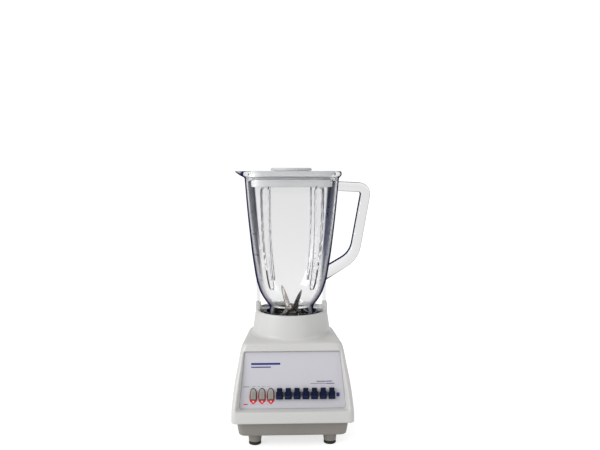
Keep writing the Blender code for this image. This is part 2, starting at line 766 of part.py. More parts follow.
def blade_path(middle, bend, tip):
    """Both arms of a blade: flat at the hub, bent at bend, and narrow at tip, as (distance, height)."""
    arm = []
    for share, half in ((0.0, 4.6), (0.5, 4.0), (0.93, 2.2), (1.0, 0.7)):
        x = bend[0] + (tip[0] - bend[0]) * share
        z = bend[1] + (tip[1] - bend[1]) * share
        arm.append((x * MM, middle + z * MM, half * MM))
    hub = [(-4.2 * MM, middle, 4.8 * MM), (4.2 * MM, middle, 4.8 * MM)]
    return [(-x, z, half) for x, z, half in reversed(arm)] + hub + arm


def make_blade(name, path, angle, parent):
    """A blade of stamped steel, with its spindle hole."""
    blade = piece(name, turned(bent_strip(path, BLADE_THICKNESS), angle), "stainless", parent)
    hole = cylinder(BLADE_HOLE, path[0][1] - 60 * MM, path[0][1] + 60 * MM, SMALL_ROUND)
    cut(blade, hole, f"{name}_hole")


def make_blade_unit(parent):
    """The plate with its boss, the bearing and spindle in it, and the blades on top."""
    plate = revolve(
        (
            (5.5 * MM, DISC_UNDER),
            (DISC_RADIUS, DISC_UNDER),
            (DISC_RADIUS, DISC_TOP),
            (11 * MM, DISC_TOP),
            (BOSS_RADIUS, DISC_TOP + 2.5 * MM),
            (BOSS_RADIUS, DISC_TOP + BOSS_HEIGHT - MM),
            (BOSS_RADIUS - MM, DISC_TOP + BOSS_HEIGHT),
            (5.5 * MM, DISC_TOP + BOSS_HEIGHT),
        )
    )
    piece("blade_plate", plate, "stainless", parent)
    bearing = tube(5.2 * MM, BLADE_HOLE, DISC_UNDER, DISC_TOP + BOSS_HEIGHT, SMALL_ROUND)
    piece("spindle_bearing", bearing, "brass", parent)
    spindle_end = NUT_UNDER + 2.4 * MM
    piece("spindle", cylinder(SPINDLE_RADIUS, 145.0 * MM, spindle_end, SMALL_ROUND), "stainless", parent)
    washer = tube(5.6 * MM, BLADE_HOLE, WASHER_UNDER, WASHER_UNDER + MM, SMALL_ROUND)
    piece("blade_washer", washer, "stainless", parent)
    lower = blade_path(LOWER_BLADE_MIDDLE, (7.0, -0.3), (24.0, -10.5))
    make_blade("lower_blade", lower, BLADE_ANGLE, parent)
    upper = blade_path(UPPER_BLADE_MIDDLE, (7.0, 0.8), (22.0, 28.6))
    make_blade("upper_blade", upper, BLADE_ANGLE + math.pi / 2, parent)
    nut = revolve(
        (
            (BLADE_HOLE, NUT_UNDER),
            (4.6 * MM, NUT_UNDER),
            (4.6 * MM, NUT_UNDER + 2.6 * MM),
            (3.2 * MM, NUT_UNDER + 4.4 * MM),
            (0, NUT_UNDER + 5 * MM),
            (0, spindle_end + GAP),
            (BLADE_HOLE, spindle_end + GAP),
        ),
        SMALL_ROUND,
    )
    piece("blade_nut", nut, "stainless", parent)
    socket = cylinder(SOCKET_RADIUS, 134.6 * MM, 147.2 * MM, SMALL_ROUND)
    socket = piece("drive_socket", socket, "steel", parent)
    half = STUD_HALF + GAP
    cut(socket, box((-half, half), (-half, half), (130 * MM, 143 * MM)), "socket_square")
    cut(socket, cylinder(BLADE_HOLE, 144.7 * MM, 150 * MM, SMALL_ROUND), "socket_bore")


def make_seal(parent):
    """The flat rubber ring between the plate and the jar's neck."""
    edge = 0.5 * MM
    profile = (
        (SEAL_HOLE, SEAL_UNDER),
        (SEAL_RADIUS - edge, SEAL_UNDER),
        (SEAL_RADIUS, SEAL_UNDER + edge),
        (SEAL_RADIUS, SEAL_UNDER + SEAL_THICKNESS - edge),
        (SEAL_RADIUS - edge, SEAL_UNDER + SEAL_THICKNESS),
        (SEAL_HOLE, SEAL_UNDER + SEAL_THICKNESS),
    )
    piece("sealing_ring", revolve(profile), "seal_rubber", parent)


def spout_push(height, angle):
    """How far the rim moves out at a height above the jar's bottom, on the spout's side."""
    away = abs(math.pi - angle)
    if height <= SPOUT_START or away >= SPOUT_HALF_ANGLE:
        return 0.0
    rise = (height - SPOUT_START) / (JAR_HEIGHT - SPOUT_START)
    return SPOUT_REACH * min(rise, 1.0) ** 1.4 * math.cos(math.pi / 2 * away / SPOUT_HALF_ANGLE) ** 2


def jar_rings(levels):
    """The rings of the jar's outside or inside, with the spout drawn out of them."""
    rings = []
    for height, half, squareness in levels:
        ring = []
        for radius, angle in superellipse(half * MM, squareness):
            radius += spout_push(height * MM, angle)
            ring.append((radius * math.cos(angle), radius * math.sin(angle), JAR_BOTTOM + height * MM))
        rings.append(ring)
    return rings


def make_jar(parent):
    """The clear jar: body with its spout, threaded neck, handle and the two ribs that the lugs hold."""
    jar = piece("jar", loft(jar_rings(JAR_OUTSIDE)), "clear_plastic", parent)
    outline = [(x * MM, JAR_BOTTOM + z * MM) for x, z in HANDLE_OUTSIDE + HANDLE_INSIDE]
    add(jar, side_slab(outline, HANDLE_HALF_WIDTH), "handle")
    for name, side in (("left_rib", -1), ("right_rib", 1)):
        reach = sorted((side * 29 * MM, side * RIB_OUTER))
        rib = box(reach, (-RIB_HALF_THICKNESS, RIB_HALF_THICKNESS), (RIB_BOTTOM, JAR_BOTTOM + 55 * MM))
        add(jar, rib, name)
    ridge = helix_ridge(30.5 * MM, NECK_THREAD_CREST, JAR_BOTTOM + 3.5 * MM, 1.3)
    add(jar, ridge, "neck_thread")
    cut(jar, loft(jar_rings(JAR_INSIDE)), "jar_inside")


def square_ring(half, height):
    """A ring of the lid's squareness."""
    return [(r * math.cos(a), r * math.sin(a), height) for r, a in superellipse(half, LID_SQUARENESS)]


def make_lid(parent):
    """The lid with its skirt and filler neck, and the cap in the neck."""
    skirt_bottom = LID_UNDER - SKIRT_DEPTH
    rings = [
        square_ring(SKIRT_HALF - 0.8 * MM, skirt_bottom),
        square_ring(SKIRT_HALF, LID_UNDER),
        square_ring(LID_HALF, LID_UNDER),
        square_ring(LID_HALF, LID_TOP - 1.5 * MM),
        square_ring(LID_HALF - 1.5 * MM, LID_TOP),
    ]
    lid = piece("lid", loft(rings), "lid_plastic", parent)
    inside = SKIRT_HALF - SKIRT_WALL
    hollow = loft([square_ring(inside - MM, skirt_bottom - MM), square_ring(inside, LID_TOP - 2.6 * MM)])
    cut(lid, hollow, "lid_hollow")
    neck = cylinder(FILLER_RADIUS + SKIRT_WALL, LID_TOP - FILLER_DEPTH, LID_TOP - MM)
    add(lid, neck, "filler_neck")
    cut(lid, cylinder(FILLER_RADIUS, LID_TOP - 2 * FILLER_DEPTH, LID_TOP + MM), "filler_hole")
    under = LID_TOP + GAP
    plug = FILLER_RADIUS - GAP - 0.1 * MM
    cap = revolve(
        (
            (plug - 2.4 * MM, under - FILLER_DEPTH),
            (plug - 0.6 * MM, under - FILLER_DEPTH),
            (plug, under - FILLER_DEPTH + 2 * MM),
            (plug, under),
            (CAP_FLANGE, under),
            (CAP_FLANGE, under + CAP_HEIGHT - 1.5 * MM),
            (CAP_FLANGE - 1.5 * MM, under + CAP_HEIGHT),
            (0, under + CAP_HEIGHT),
            (0, under + CAP_HEIGHT - 2.4 * MM),
            (plug - 2.4 * MM, under + CAP_HEIGHT - 2.4 * MM),
        )
    )
    piece("filler_cap", cap, "lid_plastic", parent)


def make_field(parent):
    """The motor's laminated core with its two coils, each wound round a pole."""
    outline = rounded_rectangle(CORE_HALF_X, -CORE_HALF_Y, CORE_HALF_Y, 6 * MM)
    core = piece("field_core", prism(outline, CORE_LOW, CORE_HIGH), "steel", parent)
    cut(core, cylinder(ROTOR_RADIUS + 0.6 * MM, CORE_LOW - MM, CORE_HIGH + MM), "core_bore")
    for name, side in (("left", -1), ("right", 1)):
        span = sorted((side * COIL_INNER_X, side * COIL_OUTER_X))
        wide = (span[0] - GAP, span[1] + GAP)
        inner_y = COIL_HALF_Y - COIL_WIRE
        for end in (-1, 1):
            slot_y = sorted((end * (inner_y - GAP), end * (COIL_HALF_Y + GAP)))
            slot = box(wide, slot_y, (CORE_LOW - MM, CORE_HIGH + MM))
            cut(core, slot, f"{name}_slot_{'front' if end < 0 else 'rear'}")
        coil = box(span, (-COIL_HALF_Y, COIL_HALF_Y), (COIL_LOW, COIL_HIGH))
        coil = piece(f"field_coil_{name}", coil, "copper_wire", parent)
        eye_z = (COIL_LOW + COIL_WIRE, COIL_HIGH - COIL_WIRE)
        eye = box((span[0] - MM, span[1] + MM), (-inner_y, inner_y), eye_z)
        cut(coil, eye, f"{name}_coil_eye")


def make_bracket(name, bar, leg, parent):
    """A bearing bracket over the core: bar and leg are (low, high) heights."""
    x = (-BRACKET_HALF_X, BRACKET_HALF_X)
    bracket = piece(name, box(x, (-CORE_HALF_Y, CORE_HALF_Y), bar), "steel", parent)
    for end in (-1, 1):
        y = sorted((end * (CORE_HALF_Y - BRACKET_LEG), end * CORE_HALF_Y))
        add(bracket, box(x, y, leg), f"{name}_leg_{'front' if end < 0 else 'rear'}")
    hole = cylinder(BEARING_RADIUS + GAP, bar[0] - MM, bar[1] + MM, SMALL_ROUND)
    cut(bracket, hole, f"{name}_hole")


def make_brush_gear(parent):
    """The two carbon brushes and the square tubes that hold them against the commutator."""
    for name, end in (("front", -1), ("rear", 1)):
        holder_y = sorted((end * 13 * MM, end * 33 * MM))
        height = (BRUSH_MIDDLE - 4.4 * MM, BRUSH_MIDDLE + 4.4 * MM)
        holder = box((-4.4 * MM, 4.4 * MM), holder_y, height)
        holder = piece(f"brush_holder_{name}", holder, "brass", parent)
        through_y = sorted((end * 12 * MM, end * 34 * MM))
        inner = (BRUSH_MIDDLE - 3.3 * MM, BRUSH_MIDDLE + 3.3 * MM)
        cut(holder, box((-3.3 * MM, 3.3 * MM), through_y, inner), f"{name}_holder_bore")
        brush_y = sorted((end * 10.9 * MM, end * 27 * MM))
        brush = box((-3 * MM, 3 * MM), brush_y, (BRUSH_MIDDLE - 3 * MM, BRUSH_MIDDLE + 3 * MM))
        piece(f"brush_{name}", brush, "carbon", parent)


def fan_outline():
    """The paddles of the cooling fan."""
    points = []
    for i in range(FAN_BLADES):
        for share, radius in ((0.0, 9 * MM), (0.12, FAN_RADIUS), (0.62, FAN_RADIUS), (0.6, 9 * MM)):
            angle = math.tau * (i + share) / FAN_BLADES
            points.append((radius * math.cos(angle), radius * math.sin(angle)))
    return points


def make_rotor(parent):
    """Everything that turns with the motor's shaft."""
    shaft = (
        (0, 40.5 * MM),
        (SHAFT_RADIUS, 40.5 * MM),
        (SHAFT_RADIUS, 133.6 * MM),
        (0, 133.6 * MM),
    )
    piece("motor_shaft", revolve(shaft, SMALL_ROUND), "steel", parent)
    rotor = (
        (SHAFT_BORE, 63 * MM),
        (15 * MM, 63 * MM),
        (17 * MM, CORE_LOW - MM),
        (ROTOR_RADIUS, CORE_LOW - MM),
        (ROTOR_RADIUS, CORE_HIGH + MM),
        (17 * MM, CORE_HIGH + MM),
        (15 * MM, 103.5 * MM),
        (SHAFT_BORE, 103.5 * MM),
    )
    piece("rotor_core", revolve(rotor), "steel", parent)
    commutator = tube(COMMUTATOR_RADIUS, SHAFT_BORE, 104.2 * MM, 116.2 * MM, SMALL_ROUND)
    piece("commutator", commutator, "copper_wire", parent)
    fan = piece("cooling_fan", prism(fan_outline(), 50 * MM, 57 * MM), "black_plastic", parent)
    cut(fan, cylinder(SHAFT_BORE, 49 * MM, 58 * MM, SMALL_ROUND), "fan_bore")
    slinger = tube(11.5 * MM, SHAFT_BORE, 132.4 * MM, 133.5 * MM, SMALL_ROUND)
    piece("slinger", slinger, "black_rubber", parent)
    side = (-STUD_HALF, STUD_HALF)
    piece("drive_stud", box(side, side, (133.9 * MM, 142.4 * MM)), "steel", parent)


def make_motor(parent):
    """The universal motor that hangs under the well."""
    make_field(parent)
    make_bracket("upper_bracket", (118.0 * MM, 122.0 * MM), (CORE_HIGH + GAP, 119.0 * MM), parent)
    make_bracket("lower_bracket", (42.0 * MM, 46.0 * MM), (45.0 * MM, CORE_LOW - GAP), parent)
    for name, middle in (("upper_bearing", 120.5 * MM), ("lower_bearing", 44.0 * MM)):
        half_height = 3.5 * MM
        sleeve = tube(BEARING_RADIUS, SHAFT_BORE, middle - half_height, middle + half_height, SMALL_ROUND)
        piece(name, sleeve, "brass", parent)
    make_brush_gear(parent)
    make_rotor(parent)


def main():
    """Clears the scene and models the blender."""
    clear_scene()
    bpy.context.scene.unit_settings.scale_length = 1.0
    axis = empty("jar_axis", (AXIS_X, 0.0, 0.0))
    slope = PANEL_HIGH - PANEL_LOW
    middle = (PANEL_HIGH + PANEL_LOW) / 2
    panel_frame = empty("panel_frame", (0.0, middle.x, middle.y), math.atan2(slope.y, slope.x), axis)
    make_housing(axis, panel_frame)
    make_panel(panel_frame)
    make_pan(axis)
    make_motor(axis)
    make_collar(axis)
    make_blade_unit(axis)
    make_seal(axis)
    make_jar(axis)
    make_lid(axis)


main()
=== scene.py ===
"""The looks of the countertop blender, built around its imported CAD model.

Shapes are modelled in millimetres, +Z up. Round and square ones stand about the jar's axis, and the
panel's ones lie flat about the middle of the panel's face, with Z out of it. new_object() turns them
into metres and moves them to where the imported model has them."""

import json
import math

import bmesh
import bpy
from mathutils import Matrix, Vector


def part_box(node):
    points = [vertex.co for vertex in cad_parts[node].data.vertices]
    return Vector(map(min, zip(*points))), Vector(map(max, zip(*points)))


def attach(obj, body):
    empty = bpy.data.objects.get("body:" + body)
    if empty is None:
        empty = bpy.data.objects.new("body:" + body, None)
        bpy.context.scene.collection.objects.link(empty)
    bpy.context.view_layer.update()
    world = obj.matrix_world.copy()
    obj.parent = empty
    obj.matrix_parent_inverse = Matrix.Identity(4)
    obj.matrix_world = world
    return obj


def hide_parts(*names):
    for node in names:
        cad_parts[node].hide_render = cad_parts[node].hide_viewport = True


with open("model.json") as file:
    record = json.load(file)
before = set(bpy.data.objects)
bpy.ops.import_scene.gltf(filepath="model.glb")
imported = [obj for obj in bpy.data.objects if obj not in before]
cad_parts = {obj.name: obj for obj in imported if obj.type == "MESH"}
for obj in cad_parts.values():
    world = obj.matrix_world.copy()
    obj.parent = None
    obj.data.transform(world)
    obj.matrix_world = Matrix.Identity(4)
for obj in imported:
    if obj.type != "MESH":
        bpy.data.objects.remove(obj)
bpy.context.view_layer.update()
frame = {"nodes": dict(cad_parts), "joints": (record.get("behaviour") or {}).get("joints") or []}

MM = 0.001
COLLAR_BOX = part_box("jar_collar")
AXIS = Vector(((COLLAR_BOX[0].x + COLLAR_BOX[1].x) / 2, 0.0, 0.0))


def local_box(node):
    """A node's lowest and highest corners in millimetres, from the foot of the jar's axis."""
    low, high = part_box(node)
    return (low - AXIS) / MM, (high - AXIS) / MM


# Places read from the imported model
HOUSING_HIGH = local_box("base_housing")[1]
PANEL_BOX = local_box("control_panel")
PAN_HIGH = local_box("base_pan")[1]
PAD_HIGH = local_box("foot_pad_1")[1]
COLLAR_LOW, COLLAR_HIGH = local_box("jar_collar")
PLATE_LOW, PLATE_HIGH = local_box("blade_plate")
SEAL_LOW, SEAL_HIGH = local_box("sealing_ring")
JAR_LOW, JAR_HIGH = local_box("jar")
LID_LOW, LID_HIGH = local_box("lid")
CAP_LOW, CAP_HIGH = local_box("filler_cap")
NUT_LOW, NUT_HIGH = local_box("blade_nut")
WASHER_HIGH = local_box("blade_washer")[1]
KEY_AXIS = Vector(next(j["axis"] for j in frame["joints"] if j["name"] == "pulse_key_1_press"))

# Panel frame: the face runs from its low edge to its high edge, both (y, z)
PANEL_THICKNESS = 2.0
PANEL_FACE_LOW = Vector((PANEL_BOX[0].y, PANEL_BOX[0].z + PANEL_THICKNESS * KEY_AXIS.z))
PANEL_FACE_HIGH = Vector((PANEL_BOX[1].y + PANEL_THICKNESS * KEY_AXIS.y, PANEL_BOX[1].z))
PANEL_MIDDLE = (PANEL_FACE_LOW + PANEL_FACE_HIGH) / 2
PANEL_SLOPE = PANEL_FACE_HIGH - PANEL_FACE_LOW
PANEL_HALF_HEIGHT = PANEL_SLOPE.length / 2
PANEL_LOW_HALF = 69.5
PANEL_HIGH_HALF = 63.0
TO_AXIS = Matrix.Translation(AXIS) @ Matrix.Scale(MM, 4)
TO_PANEL = (
    TO_AXIS
    @ Matrix.Translation((0.0, PANEL_MIDDLE.x, PANEL_MIDDLE.y))
    @ Matrix.Rotation(math.atan2(PANEL_SLOPE.y, PANEL_SLOPE.x), 4, "X")
)

# Housing: its outline from the bottom up, as (height, half width at the front, half width at the rear,
# front, rear, front corner radius, rear corner radius)
HOUSING_LEVELS = (
    (37.0, 80.0, 80.0, -92.0, 92.0, 7.0, 9.0),
    (53.0, 79.7, 79.7, -90.0, 90.5, 7.0, 10.0),
    (61.0, 79.0, 79.0, -87.0, 89.5, 7.0, 11.0),
    (86.0, 76.0, 76.0, -78.0, 86.0, 8.0, 16.0),
    (111.0, 71.5, 68.0, -69.0, 79.0, 9.0, 29.0),
    (125.5, 69.2, 60.0, -63.3, 72.0, 9.0, 39.0),
    (131.8, 67.4, 57.2, -61.0, 65.5, 9.0, 42.0),
)
# The shoulder turns up into the ring
SHOULDER_LEVELS = (
    (134.2, 65.8, 56.8, -60.0, 62.4, 10.0, 43.0),
    (135.2, 63.6, 56.2, -58.4, 60.2, 13.0, 45.0),
    (135.9, 60.0, 55.6, -56.4, 57.4, 28.0, 50.0),
    (137.0, 56.0, 55.4, -55.4, 55.8, 50.0, 54.5),
    (139.6, 54.4, 54.4, -54.4, 54.4, 54.0, 54.0),
)
CAVITY_TOP_LEVEL = (132.0, 61.5, 49.0, -54.0, 58.5, 8.0, 38.0)
RING_TOP = 169.0
RING_TOP_RADIUS = 49.9
WELL_RADIUS = 46.5
WELL_FLOOR = 132.0
WELL_FLOOR_UNDER = 129.0
WALL = 2.8
SHAFT_HOLE_RADIUS = 13.0
LUG_LOW = 150.0
LUG_INNER = 44.0
LUG_OUTER = 50.3
LUG_HALF_WIDTH = 7.2
LUG_SLOT_HALF_WIDTH = 2.2
NOTCH_HALF_WIDTH = 6.65
NOTCH_FLOOR = 140.0
NOTCH_FLARE = 6.0
NOTCH_REACH = (30.0, 60.0)
PANEL_GAP = 0.3
RECESS_REACH = 16.0
RECESS_SIDE_FLARE = 0.52
RECESS_LOW_FLARE = 0.38
RECESS_HIGH_FLARE = 0.15
SCREW_X = 63.0
SCREW_Y = 72.0
BOSS_TOP = 64.0
BOSS_HALF = 4.5
BOSS_REACH = 78.0

# Keys, in the panel's own frame
KEY_COUNT = 10
PULSE_KEYS = 3
KEY_PITCH = 11.45
KEY_ROW = -17.7
KEY_HALF = 6.9
KEY_PROUD = 5.0
KEY_TAIL = 6.4
PULSE_HALF = 3.45
SPEED_HALF = 4.1
SPEED_NECK_HALF = 3.0
WINDOW_HALF_WIDTH = 58.0
WINDOW_HALF_HEIGHT = 9.0

# Pan
PAN_FLOOR = 19.5
PAN_UNDER = 17.0
PAN_HALF_X = 73.6
PAN_HALF_Y = 84.0
PAN_LIP_X = PAN_HALF_X + 2.7
PAN_LIP_Y = PAN_HALF_Y + 4.0
PAN_STEP = 39.0
# The pan's outline and its hollow, as (height, half width, half depth)
PAN_OUTSIDE = (
    (PAN_UNDER, PAN_HALF_X - 5.4, PAN_HALF_Y - 5.4),
    (PAN_UNDER + 0.4, PAN_HALF_X - 3.9, PAN_HALF_Y - 3.9),
    (PAN_UNDER + 1.4, PAN_HALF_X - 3.0, PAN_HALF_Y - 3.0),
    (PAN_UNDER + 3.0, PAN_HALF_X - 2.5, PAN_HALF_Y - 2.5),
    (PAN_STEP - 2.5, PAN_HALF_X, PAN_HALF_Y),
    (PAN_STEP, PAN_HALF_X, PAN_HALF_Y),
    (PAN_STEP, PAN_LIP_X, PAN_LIP_Y),
    (PAN_HIGH.z, PAN_LIP_X, PAN_LIP_Y),
)
PAN_HOLLOW = ((PAN_FLOOR, 66.0, 77.5), (PAN_FLOOR + 5.0, 67.8, 79.4), (42.5, 70.0, 81.5))
FOOT_X = 50.0
FOOT_Y = 62.0
FOOT_RADIUS_LOW = 8.2
FOOT_RADIUS_HIGH = 9.6
VENT_COUNT = 7
VENT_PITCH = 9.0
VENT_HALF_WIDTH = 1.6
VENT_HALF_LENGTH = 24.0
BUSHING_HEIGHT = 28.5
BUSHING_RADIUS = 6.3
BUSHING_REACH = (70.0, 90.0)
PILLAR_RADIUS = 5.0
SCREW_HOLE_RADIUS = 2.2
SCREW_HEAD_RADIUS = 4.0
SCREW_HEAD_TOP = 26.0

# Collar and blade plate
COLLAR_LEDGE = 147.4
COLLAR_RIM_RADIUS = 37.5
COLLAR_BORE = 35.0
FIN_COUNT = 6
FIN_TOP_RADIUS = 42.8
FIN_LOW_RADIUS = 40.5
FIN_HALF_WIDTH = 2.0
THREAD_LEAD = 6.4
THREAD_STEPS = 72
BOSS_RADIUS = 7.5

# Blades, in millimetres from the axis
BLADE_THICKNESS = 1.5
BLADE_ANGLE = math.radians(38)
BLADE_HOLE = 3.2
BLADE_RISE = 1.05
NUT_RADIUS = 4.7
NUT_DOME_RADIUS = 3.8
NUT_HEX_HEIGHT = 2.6

# Jar body: (height above the jar's bottom, half width, squareness). Squareness 2 is a circle.
JAR_BODY = (
    (21.0, 31.2, 2.0),
    (30.0, 37.8, 2.0),
    (39.5, 43.3, 2.0),
    (54.0, 48.0, 2.3),
    (83.0, 52.8, 3.0),
    (126.0, 57.4, 4.4),
    (166.0, 60.8, 5.8),
    (197.0, 63.0, 6.6),
)
JAR_RIM = (
    (199.6, 63.2, 6.8),
    (201.2, 64.2, 6.9),
    (202.6, 65.7, 7.0),
    (203.8, 66.3, 7.0),
    (206.6, 66.5, 7.0),
    (208.1, 66.1, 7.0),
    (209.0, 65.0, 7.0),
)
JAR_WALL = 2.9
JAR_MOUTH = (
    (198.0, 59.6, 6.6),
    (200.0, 57.6, 6.8),
    (202.4, 57.0, 7.0),
    (203.0, 57.6, 7.0),
    (203.0, 60.3, 7.0),
    (207.6, 60.7, 7.0),
    (208.6, 61.5, 7.0),
    (210.0, 63.6, 7.0),
)
NECK_RADIUS = 31.1
NECK_BORE = 28.0
JAR_NECK = ((0.0, 30.2, 2.0), (0.4, 30.8, 2.0), (1.2, NECK_RADIUS, 2.0), (12.0, NECK_RADIUS, 2.0))
JAR_BORE = ((-1.0, NECK_BORE, 2.0), (16.0, NECK_BORE, 2.0), (19.5, NECK_BORE + 0.4, 2.0))
NECK_THREAD_ROOT = 30.4
NECK_THREAD_CREST = 33.5
SPOUT_START = 197.0
SPOUT_REACH = 12.7
SPOUT_HALF_ANGLE = math.radians(24)
FLUTE_LOW = 50.0
FLUTE_HIGH = 191.0
FLUTE_LEAN_LOW = math.radians(35)
FLUTE_LEAN_HIGH = math.radians(30)
FLUTE_HALF_LOW = 3.4
FLUTE_HALF_HIGH = 4.6
FLUTE_DEPTH = 3.8
RIB_OUTER = 48.8
RIB_INNER = 29.5
RIB_LOW = 16.4
RIB_LENGTH = 40.0
RIB_HALF_THICKNESS = 1.5
MARK_HEIGHTS = (62.0, 97.0, 126.0, 154.0)
MARK_HALF_LENGTH = 3.4
MARK_HALF_HEIGHT = 0.55
HANDLE_HALF_WIDTH = 10.8
# The handle's middle line: (distance from the axis, height, where the bend starts before the corner)
HANDLE_LINE = ((50.0, 188.9, 0.0), (104.6, 186.6, 13.0), (87.8, 91.0, 17.0), (40.0, 61.5, 0.0))

# Lid
LID_HALF = 59.4
LID_THICKNESS = 6.0
SKIRT_HALF = 55.8
FILLER_RADIUS = 25.0
CAP_FLANGE = 28.5
CAP_GRIPS = 48
GRIP_RADIUS = 0.62


# ---- Shapes ----


def loft(rings, loop=False):
    """A closed solid through rings of equally many points. Its ends are flat, or joined in a loop."""
    shape = bmesh.new()
    made = [[shape.verts.new(point) for point in ring] for ring in rings]
    count = len(made[0])
    pairs = list(zip(made, made[1:]))
    if loop:
        pairs.append((made[-1], made[0]))
    for low, high in pairs:
        for i in range(count):
            j = (i + 1) % count
            shape.faces.new((low[i], low[j], high[j], high[i]))
    if not loop:
        shape.faces.new(made[0][::-1])
        shape.faces.new(made[-1])
    return shape


def revolve(profile, sides=96):
    """A closed (radius, height) outline turned round the Z axis. Points on the axis are joined."""
    shape = bmesh.new()
    turns = [math.tau * i / sides for i in range(sides)]
    made = []
    for radius, height in profile:
        if radius == 0:
            made.append([shape.verts.new((0, 0, height))] * sides)
        else:
            ring = [(radius * math.cos(turn), radius * math.sin(turn), height) for turn in turns]
            made.append([shape.verts.new(point) for point in ring])
    for this, following in zip(made, made[1:] + made[:1]):
        for i in range(sides):
            j = (i + 1) % sides
            corners = list(dict.fromkeys((this[i], this[j], following[j], following[i])))
            if len(corners) > 2:
                shape.faces.new(corners)
    return shape


def bend(start, corner, end, steps):
    """Points along a curve that leaves one point towards a corner and comes in to another point."""
    points = []
    for step in range(steps + 1):
        share = step / steps
        points.append(start * (1 - share) ** 2 + corner * (2 * share * (1 - share)) + end * share**2)
    return points


def filleted(corners, steps=5):
    """A closed outline of (x, y, radius) corners, each rounded by its radius."""
    points = []
    for i, (x, y, radius) in enumerate(corners):
        if radius == 0:
            points.append((x, y))
            continue
        here = Vector((x, y))
        before = Vector(corners[i - 1][:2]) - here
        after = Vector(corners[(i + 1) % len(corners)][:2]) - here
        reach = radius / math.tan(before.angle(after) / 2)
        reach = min(reach, 0.49 * before.length, 0.49 * after.length)
        start = here + before.normalized() * reach
        end = here + after.normalized() * reach
        points += [tuple(point) for point in bend(start, here, end, steps)]
    return points


def slab_outline(x, y, corner, steps=5):
    """A rectangle's outline from its (low, high) along both axes, with rounded corners."""
    corners = ((x[0], y[0]), (x[1], y[0]), (x[1], y[1]), (x[0], y[1]))
    return filleted([(*place, corner) for place in corners], steps)


def inset(outline, distance):
    """An anticlockwise outline, moved in by a distance."""
    points = []
    count = len(outline)
    for i, (x, y) in enumerate(outline):
        back, ahead = outline[i - 1], outline[(i + 1) % count]
        along = Vector((ahead[0] - back[0], ahead[1] - back[1])).normalized()
        points.append((x - along.y * distance, y + along.x * distance))
    return points


def layers(levels):
    """A solid through flat (outline, height) levels."""
    return loft([[(x, y, height) for x, y in outline] for outline, height in levels])


def prism(outline, low, high):
    """An outline pulled up from low to high."""
    return layers(((outline, low), (outline, high)))


def pillow(outline, low, high, edge, steps=4, under=False):
    """An anticlockwise (x, y) outline pulled up from low to high, with its upper edge rounded."""
    rings = []
    for step in range(steps + 1):
        turn = math.pi / 2 * step / steps
        rings.append((edge * (1 - math.cos(turn)), high - edge * (1 - math.sin(turn))))
    low_rings = [(0.0, low)]
    if under:
        low_rings = [(depth, low + high - height) for depth, height in reversed(rings)]
    return layers([(inset(outline, depth), height) for depth, height in low_rings + rings])


def turned(shape, angle, axis="Z"):
    """The shape turned about an axis through the origin."""
    bmesh.ops.rotate(shape, verts=shape.verts, matrix=Matrix.Rotation(angle, 3, axis))
    return shape


def moved(shape, offset):
    """The shape moved by an offset."""
    bmesh.ops.translate(shape, verts=shape.verts, vec=offset)
    return shape


def joined(shapes):
    """One shape that holds all the shapes."""
    whole = bmesh.new()
    for shape in shapes:
        mesh = bpy.data.meshes.new("part")
        shape.to_mesh(mesh)
        shape.free()
        whole.from_mesh(mesh)
        bpy.data.meshes.remove(mesh)
    return whole


def box(x, y, z):
    """A box from its (low, high) along each axis."""
    return prism(slab_outline(x, y, 0), *z)


def cylinder(radius, low, high, centre=(0.0, 0.0), sides=96):
    """An upright cylinder."""
    shape = revolve(((0, low), (radius, low), (radius, high), (0, high)), sides)
    return moved(shape, (*centre, 0.0))


def side_slab(outline, half_width, edge):
    """An (x, z) outline with a thickness of half_width to each side of y = 0 and rounded edges."""
    area = sum(a[0] * b[1] - b[0] * a[1] for a, b in zip(outline, outline[1:] + outline[:1]))
    outline = outline if area > 0 else outline[::-1]
    slab = pillow(outline, -half_width, half_width, edge, under=True)
    return turned(slab, math.pi / 2, "X")


def mirrored_pairs(x, y):
    """The four places at plus and minus x and y."""
    return [(side * x, end * y) for end in (-1, 1) for side in (-1, 1)]


def smooth_rows(rows, gap):
    """Rows of a smooth curve through the given rows, about gap apart along their first two columns."""
    found = []
    along = [0.0]
    for a, b in zip(rows, rows[1:]):
        along.append(along[-1] + math.hypot(b[0] - a[0], b[1] - a[1]))

    def slope(i, column):
        """The curve's slope at a row, for one column."""
        low, high = max(i - 1, 0), min(i + 1, len(rows) - 1)
        if low == i or high == i:
            return (rows[high][column] - rows[low][column]) / (along[high] - along[low])
        before, after = along[i] - along[low], along[high] - along[i]
        rise_before = (rows[i][column] - rows[low][column]) / before
        rise_after = (rows[high][column] - rows[i][column]) / after
        return (rise_before * after + rise_after * before) / (before + after)

    for i in range(len(rows) - 1):
        length = along[i + 1] - along[i]
        steps = max(1, round(length / gap))
        for step in range(steps):
            t = step / steps
            weights = (2 * t**3 - 3 * t**2 + 1, t**3 - 2 * t**2 + t, 3 * t**2 - 2 * t**3, t**3 - t**2)
            row = []
            for column in range(len(rows[0])):
                values = (
                    rows[i][column],
                    slope(i, column) * length,
                    rows[i + 1][column],
                    slope(i + 1, column) * length,
                )
                row.append(sum(w * v for w, v in zip(weights, values)))
            found.append(tuple(row))
    found.append(tuple(rows[-1]))
    return found


def superellipse_radius(half, squareness, angle):
    """How far out a rounded square reaches at an angle."""
    spread = abs(math.cos(angle)) ** squareness + abs(math.sin(angle)) ** squareness
    return half * spread ** (-1 / squareness)


def square_ring(half, squareness, height, sides):
    """A ring between a circle and a square."""
    ring = []
    for i in range(sides):
        angle = math.tau * i / sides
        radius = superellipse_radius(half, squareness, angle)
        ring.append((radius * math.cos(angle), radius * math.sin(angle), height))
    return ring


